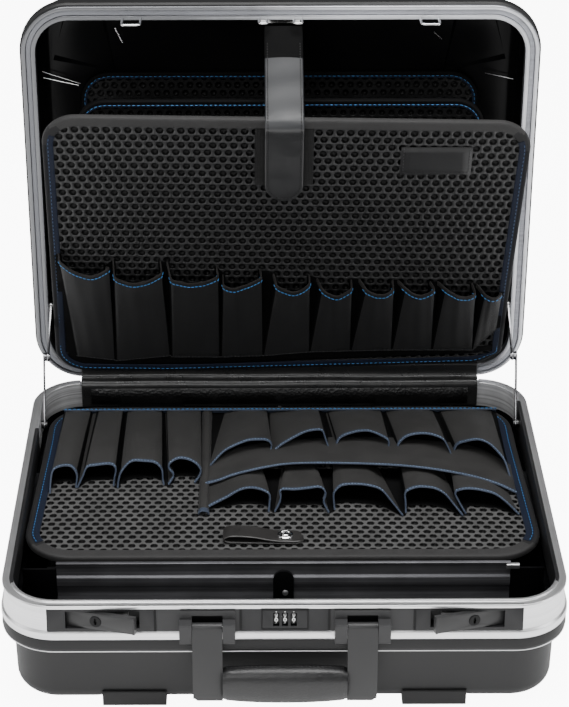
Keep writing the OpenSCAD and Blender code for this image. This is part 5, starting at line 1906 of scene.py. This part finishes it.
@dataclass(frozen=True)
class Handle:
    """The grip as a bowed, padded loft, and the metal arms and brackets."""

    half: float = 49.5
    height: float = 36.5
    points: int = 36

    def section(self, x: float) -> list[Point]:
        """Points round the grip at one place along it.

        Args:
            x: Place along the grip.

        Returns:
            The points.
        """
        q = abs(x) / self.half
        bow, deep, tall = 1.8 * (1 - q * q), 9.0 + 1.2 * (1 - q ** 2), 14.3 + 2.2 * (1 - q ** 2.5)
        if q > 0.93:
            tall *= 1 - 0.1 * (q - 0.93) / 0.07
        crease = 0.25 * math.sin(x * 0.62) + 0.2 * math.sin(x * 1.37 + 1)
        ring = []
        for k in range(self.points):
            c, s = math.cos(math.tau * k / self.points), math.sin(math.tau * k / self.points)
            out = math.copysign(abs(c) ** 0.8, c) * (deep + crease * max(0, -c) * 0.6)
            ring.append((x, -195 + out - bow * 0.5, self.height + math.copysign(abs(s) ** 0.9, s) * tall))
        return ring

    def build(self) -> None:
        """Makes the grip and its seams, and gives the metal its finish."""
        xs = np.concatenate([np.linspace(-49.5, -46, 4), np.linspace(-43, 43, 31), np.linspace(46, 49.5, 4)])
        data = MeshData()
        data.sweep(np.array([self.section(x) for x in xs]), closed=False)
        grip = data.build("padded_grip", [GRIP], 50)
        done(grip, Body.HANDLE, "grip", "handle_grip")
        lines = [np.array([[x, -194 - 0.9 * (1 - (x / self.half) ** 2),
                            self.height + s * (14.2 + 2.2 * (1 - abs(x / self.half) ** 2.5))]
                           for x in np.linspace(-46, 46, 50)]) for s in (-1, 1)]
        done(stitches("grip_stitches", lines, DARK_THREAD, 3.2, 2.2, 0.4), Body.HANDLE, "grip")
        dress(["handle_arms"], HANDLE_METAL, 0.8)
        dress(["handle_bracket_left", "handle_bracket_right"], BRACKET_LIT, 0.35)
        dress(["handle_pins"], STEEL, 0.1)


@dataclass(frozen=True)
class LockStrip:
    """Black strips painted as the shadow at the lock plates' ends, along their top edge and in the bracket recesses,
    dark joints between the plates, a dark frame round the dials, and the rings of the key cylinders.
    """

    # Painted shadow: black strips at the plates' outer ends and along their top edge.
    bars: tuple[tuple[Point, Point], ...] = (
        ((-188.5, -0.6, -11.7), (-187.4, 0.1, 11.7)), ((187.4, -0.6, -11.7), (188.5, 0.1, 11.7)),
        ((-188.4, -0.7, 11.2), (188.4, 0.1, 11.75)))
    bezel: tuple[tuple[Point, Point], ...] = (
        ((-18.6, -2.8, -9.4), (18.6, -1.5, -8.8)), ((-18.6, -2.8, 8.3), (18.6, -1.5, 8.9)),
        ((-18.6, -2.8, -9.4), (-18.0, -1.5, 8.9)), ((18.0, -2.8, -9.4), (18.6, -1.5, 8.9)))
    ring: tuple[Pair, ...] = ((3.3, 0.25), (3.5, -0.35), (4.1, -0.55), (4.75, -0.3), (4.9, 0.4), (4.1, 0.7))

    def spans(self) -> list[tuple[Point, Point]]:
        """Lower and upper corners of every dark bar, in the frame of the band.

        Returns:
            Pairs of corners.
        """
        spans = list(self.bars)
        for s in (-1, 1):
            for x in (35.0, 102.6):
                spans.append(((s * x - 0.9, -1.85, -11.0), (s * x + 0.9, 0.1, 10.9)))
            # Painted shade: a black plate in each bracket's recess.
            x0, x1 = sorted((s * 49.3, s * 73.5))
            spans.append(((x0, -0.75, -9.4), (x1, -0.1, 3.3)))
        return spans + list(self.bezel)

    def build(self) -> None:
        """Makes the painted shadow strips, the joints and the dial frame as one piece, and a ring on each lever."""
        matrix, data = CASE.band_matrix(), MeshData()
        for lo, hi in self.spans():
            data.sweep(np.array([[(x, lo[1], lo[2]), (x, hi[1], lo[2]), (x, hi[1], hi[2]), (x, lo[1], hi[2])]
                                 for x in (lo[0], lo[0] + 0.12, hi[0] - 0.12, hi[0])]), closed=False)
        done(place(data.build("lock_strip_trim", [BLACK], 30), matrix), Body.BASE, "lock_plastic")
        for s, name in ((-1, "left"), (1, "right")):
            ring = MeshData()
            ring.sweep(np.array([[(s * 148.6 + r * math.cos(a), -1.4 + out, -1 + r * math.sin(a))
                                  for r, out in self.ring] for a in turns(40)]), closed=True)
            pivot = Matrix.Translation((s * 158 * MM, 0.9 * MM, 0))
            swing = pivot @ Matrix.Rotation(math.radians(s * 16), 4, "Z") @ pivot.inverted()
            done(place(ring.build(f"key_ring_{name}", [BLACK], 50), matrix @ swing), f"lever_{name}",
                 "lock_plastic")


@dataclass(frozen=True)
class DividerFittings:
    """The bright tab at the divider's right end, and a bright dome on its middle clip, a painted highlight."""

    tab: tuple[Pair, ...] = ((-100.6, 80.5), (-96.8, 80.5), (-96.8, 84.8), (-100.6, 84.8))
    dome: tuple[Pair, ...] = ((0.01, -103.6), (1.4, -103.4), (2.4, -102.9), (2.6, -102.0), (0.01, -102.0))

    def build(self) -> None:
        """Makes both as one piece."""
        data = MeshData()
        section = fillet(self.tab, 0.9, steps=3)
        data.sweep(np.array([[(x, y, z) for y, z in section] for x in (184.5, 185, 194.5, 195)]), closed=False)
        # Painted highlight: a small bright dome on the middle clip.
        data.sweep(np.array([[(1.5 + r * math.cos(a), y, 58.6 + r * math.sin(a)) for r, y in self.dome]
                             for a in turns(24)]), closed=True, open_section=True)
        done(data.build("divider_tab", [ALUMINIUM], 40), Body.BASE, "steel")


@dataclass(frozen=True)
class Hasps:
    """Bright wire loops on the lid's front rim: left and right end, and depth, of each."""

    wire: float = 1.15
    loops: tuple[Point, ...] = ((119.5, 137.5, 17.4), (10.5, 19.5, 14), (-137.5, -119.5, 17.4), (-19.5, -10.5, 14))

    def build(self) -> None:
        """Makes the four loops as one piece."""
        data = MeshData()
        y, z = -(CASE.depth / 2 - 9.7) + 1.1, CASE.rim_z + 0.4
        for x0, x1, drop in self.loops:
            corner = fillet([(x0 + 1.1, z + 1), (x0 + 1.1, z - drop + 1.1), (x1 - 1.1, z - drop + 1.1),
                             (x1 - 1.1, z + 1)], 2.4, closed=False, steps=6)
            path = resample(np.column_stack([corner[:, 0], np.full(len(corner), y), corner[:, 1]]), 40)
            data.sweep(tube(path, self.wire), closed=False)
        done(place(data.build("hasp_wires", [CHROME], 50), CASE.lid_matrix()), Body.LID, "steel", "hasp_loops")


@dataclass(frozen=True)
class Dials:
    """White digits round each wheel and pointers on the bezel; axis in the frame of the band."""

    spacing: float = 6.9
    axis: Pair = (2.9, -0.5)
    radius: float = 5.68
    figure: Pair = (5.8, 4.6 / 5.6)

    def digit(self, number: int, centre: float) -> bpy.types.Mesh:
        """One digit, bent round its wheel.

        Args:
            number: Which digit.
            centre: Middle of the wheel.

        Returns:
            Its mesh, flat.
        """
        curve = bpy.data.curves.new("digit", "FONT")
        curve.body, curve.align_x, curve.align_y, curve.size = str(number), "CENTER", "CENTER", 1.0
        curve.offset, curve.resolution_u = 0.035, 2
        text = linked("digit", curve)
        graph = bpy.context.evaluated_depsgraph_get()
        mesh = bpy.data.meshes.new_from_object(text.evaluated_get(graph))
        bpy.data.objects.remove(text)
        bpy.data.curves.remove(curve)
        co = np.array([v.co for v in mesh.vertices])
        co[:, 1] -= (co[:, 1].max() + co[:, 1].min()) / 2
        a = math.radians(-36 * number) + co[:, 1] * self.figure[1]
        out = np.column_stack([centre + co[:, 0] * self.figure[0], self.axis[0] - self.radius * np.cos(a),
                               self.axis[1] + self.radius * np.sin(a)])
        mesh.vertices.foreach_set("co", (out * MM).ravel())
        return mesh

    def digits(self, wheel: int) -> Piece:
        """The ten raised digits of one wheel.

        Args:
            wheel: 1 to 3.

        Returns:
            The digits.
        """
        bm = bmesh.new()
        for mesh in [self.digit(n, (wheel - 2) * self.spacing) for n in range(10)]:
            bm.from_mesh(mesh)
            bpy.data.meshes.remove(mesh)
        extra = bmesh.ops.extrude_face_region(bm, geom=bm.faces[:])["geom"]
        y, z = self.axis[0] * MM, self.axis[1] * MM
        for v in (g for g in extra if isinstance(g, bmesh.types.BMVert)):
            v.co.y, v.co.z = y + (v.co.y - y) * 1.012, z + (v.co.z - z) * 1.012
        bmesh.ops.recalc_face_normals(bm, faces=bm.faces[:])
        mesh = bpy.data.meshes.new(f"dial_{wheel}_digits")
        bm.to_mesh(mesh)
        bm.free()
        mesh.materials.append(material(WHITE))
        return linked(mesh.name, mesh)

    def build(self) -> None:
        """Makes the digits of the three wheels and their pointers."""
        matrix, marks = CASE.band_matrix(), MeshData()
        for wheel in (1, 2, 3):
            done(place(self.digits(wheel), matrix), f"dial_{wheel}", "dial")
        for k in (-1, 0, 1):
            x, y = k * self.spacing, -2.56
            tri = [(x - 0.55, y, 6.9), (x + 0.55, y, 6.9), (x, y, 5.8)]
            marks.part(tri + [(a, y + 0.3, b) for a, _, b in tri],
                       [(0, 1, 2), (5, 4, 3), (0, 3, 4, 1), (1, 4, 5, 2), (2, 5, 3, 0)])
        done(place(marks.build("dial_pointers", [WHITE]), matrix), Body.BASE, "dial")


@dataclass(frozen=True)
class KeptNodes:
    """The CAD nodes that keep their own shape: their names, finish and bevel."""

    rows: tuple[tuple[str, Finish, float], ...] = (
        ("lock_case_left lock_case_right combination_case", LOCK, 0.3), ("lever_left lever_right", LEVER, 0.35),
        ("key_left key_right", BLACK, 0.25), ("catch_left catch_right lever_pins", DARK_STEEL, 0.1),
        ("dial_shaft hinge_pin", STEEL, 0.1), ("dial_1 dial_2 dial_3", DRUM, 0.2), ("feet", RUBBER, 1.2),
        ("hinge_leaf_base hinge_leaf_lid", ALU_X, 0.2), ("divider_front", PROFILE, 0.9),
        ("divider_cross", PROFILE, 0.2), ("divider_clips divider_brackets tray_ledges", BLACK, 0.5),
        ("stay_rivets_base stay_rivets_lid", DARK_STEEL, 0.4),
        ("stay_base_left stay_base_right stay_lid_left stay_lid_right", GREY_STEEL, 0.3), ("lid_seal", SEAL, 0.2),
        ("strap_anchor", STEEL, 0.4), ("board_spine", TAPE_DARK, 0.0))

    def build(self) -> None:
        """Gives each node its finish."""
        for names, finish, bevel in self.rows:
            dress(names.split(), finish, bevel)


@dataclass(frozen=True)
class Studio:
    """Camera, lights and floor, from the camera fitted to the photograph."""

    centre: Point = (-23.8, -1540.6, 1072.6)
    focal_px: float = 2106.0
    long_side_px: float = 707.0
    axis_px: Pair = (257.2, 353.8)
    yaw: float = -0.10
    pitch: float = 28.70
    roll: float = -0.14

    def camera(self) -> None:
        """Makes the camera."""
        yaw, pitch, roll = (math.radians(v) for v in (self.yaw, self.pitch, self.roll))
        forward = np.array([-math.sin(yaw) * math.cos(pitch), math.cos(yaw) * math.cos(pitch), -math.sin(pitch)])
        right = np.array([math.cos(yaw), math.sin(yaw), 0.0])
        up = np.cross(right, forward)
        right, up = right * math.cos(roll) + up * math.sin(roll), up * math.cos(roll) - right * math.sin(roll)
        data = bpy.data.cameras.new("camera")
        data.sensor_width = 36.0
        data.lens = self.focal_px / self.long_side_px * 36.0
        data.shift_x = (284.5 - self.axis_px[0]) / self.long_side_px
        data.clip_start, data.clip_end = 0.05, 30.0
        view = linked("camera", data)
        rows = np.column_stack([right, up, -forward])
        view.matrix_world = SHIFT @ Matrix.Translation([v * MM for v in self.centre]) @ Matrix(rows.tolist()).to_4x4()
        bpy.context.scene.camera = view

    def lamp(self, name: str, at: Point, aim: Point, size: Pair, power: float) -> None:
        """A rectangular soft light, places and sizes in metres.

        Args:
            name: The light's name.
            at: Its place.
            aim: Where it looks.
            size: Width and height.
            power: Watts.
        """
        data = bpy.data.lights.new(name, "AREA")
        data.shape, data.size, data.size_y, data.energy = "RECTANGLE", size[0], size[1], power
        lamp = linked(name, data)
        direction = np.array(aim) - np.array(at)
        back = unit(-direction)
        side = unit(np.cross((0, 0, 1), back)) if abs(back[2]) < 0.99 else np.array([1.0, 0, 0])
        rows = np.column_stack([side, np.cross(back, side), back])
        lamp.matrix_world = Matrix.Translation(at) @ Matrix(rows.tolist()).to_4x4()

    def build(self) -> None:
        """Makes camera, lights, floor and surroundings."""
        self.camera()
        self.lamp("top_light", (0.1, -0.2, 2.2), (0, 0, 0.1), (2.0, 1.2), 70)
        self.lamp("front_light", (-0.6, -2.3, 1.5), (0, 0, 0.15), (1.6, 1.0), 24)
        self.lamp("left_light", (-2.0, -0.4, 1.1), (0, 0, 0.2), (1.0, 1.6), 14)
        self.lamp("right_light", (2.0, -0.6, 1.2), (0, 0, 0.2), (1.0, 1.6), 20)
        data = MeshData()
        data.part([(-4000, -4000, 0), (4000, -4000, 0), (4000, 4000, 0), (-4000, 4000, 0)], [(0, 1, 2, 3)])
        floor = data.build("floor", [])
        paint = Shader("floor_paint")
        tone = paint.noise(paint.object, 3.0)
        paint.tint(tone, (0.9, 0.9, 0.9), (0.93, 0.93, 0.93))
        paint.fixed(Roughness=0.9, Emission_Color=(1, 1, 1, 1))
        seen = paint.add("ShaderNodeLightPath").outputs["Is Camera Ray"]
        paint.tree.links.new(paint.ramp(seen, 0.0, 1.0, 0.7, 9.0), paint.shader.inputs["Emission Strength"])
        floor.data.materials.append(paint.material)
        world = bpy.data.worlds.new("studio")
        world.use_nodes = True
        sky = Graph(world.node_tree)
        up = sky.add("ShaderNodeSeparateXYZ", {0: sky.add("ShaderNodeTexCoord").outputs["Generated"]}).outputs[2]
        shine = sky.math("MULTIPLY_ADD", sky.add("ShaderNodeLightPath").outputs["Is Glossy Ray"], 1.5, 1.0)
        power = sky.math("MULTIPLY", sky.ramp(up, 0.0, 0.7, 0.2, 1.3), shine)
        world.node_tree.links.new(power, world.node_tree.nodes["Background"].inputs[1])
        bpy.context.scene.world = world


def main() -> None:
    """Builds the scene, one sub-assembly after the other; each piece logs its face count."""
    logging.basicConfig(level=logging.INFO, format="%(name)s: %(message)s")
    for part in (Studio(), CaseShells(), HingeCover(), LidBoards(), FrontPockets(), ClosingStrap(), TrayBoard(),
                 Handle(), LockStrip(), DividerFittings(), Hasps(), Dials(), KeptNodes()):
        part.build()


if __name__ == "__main__":
    main()
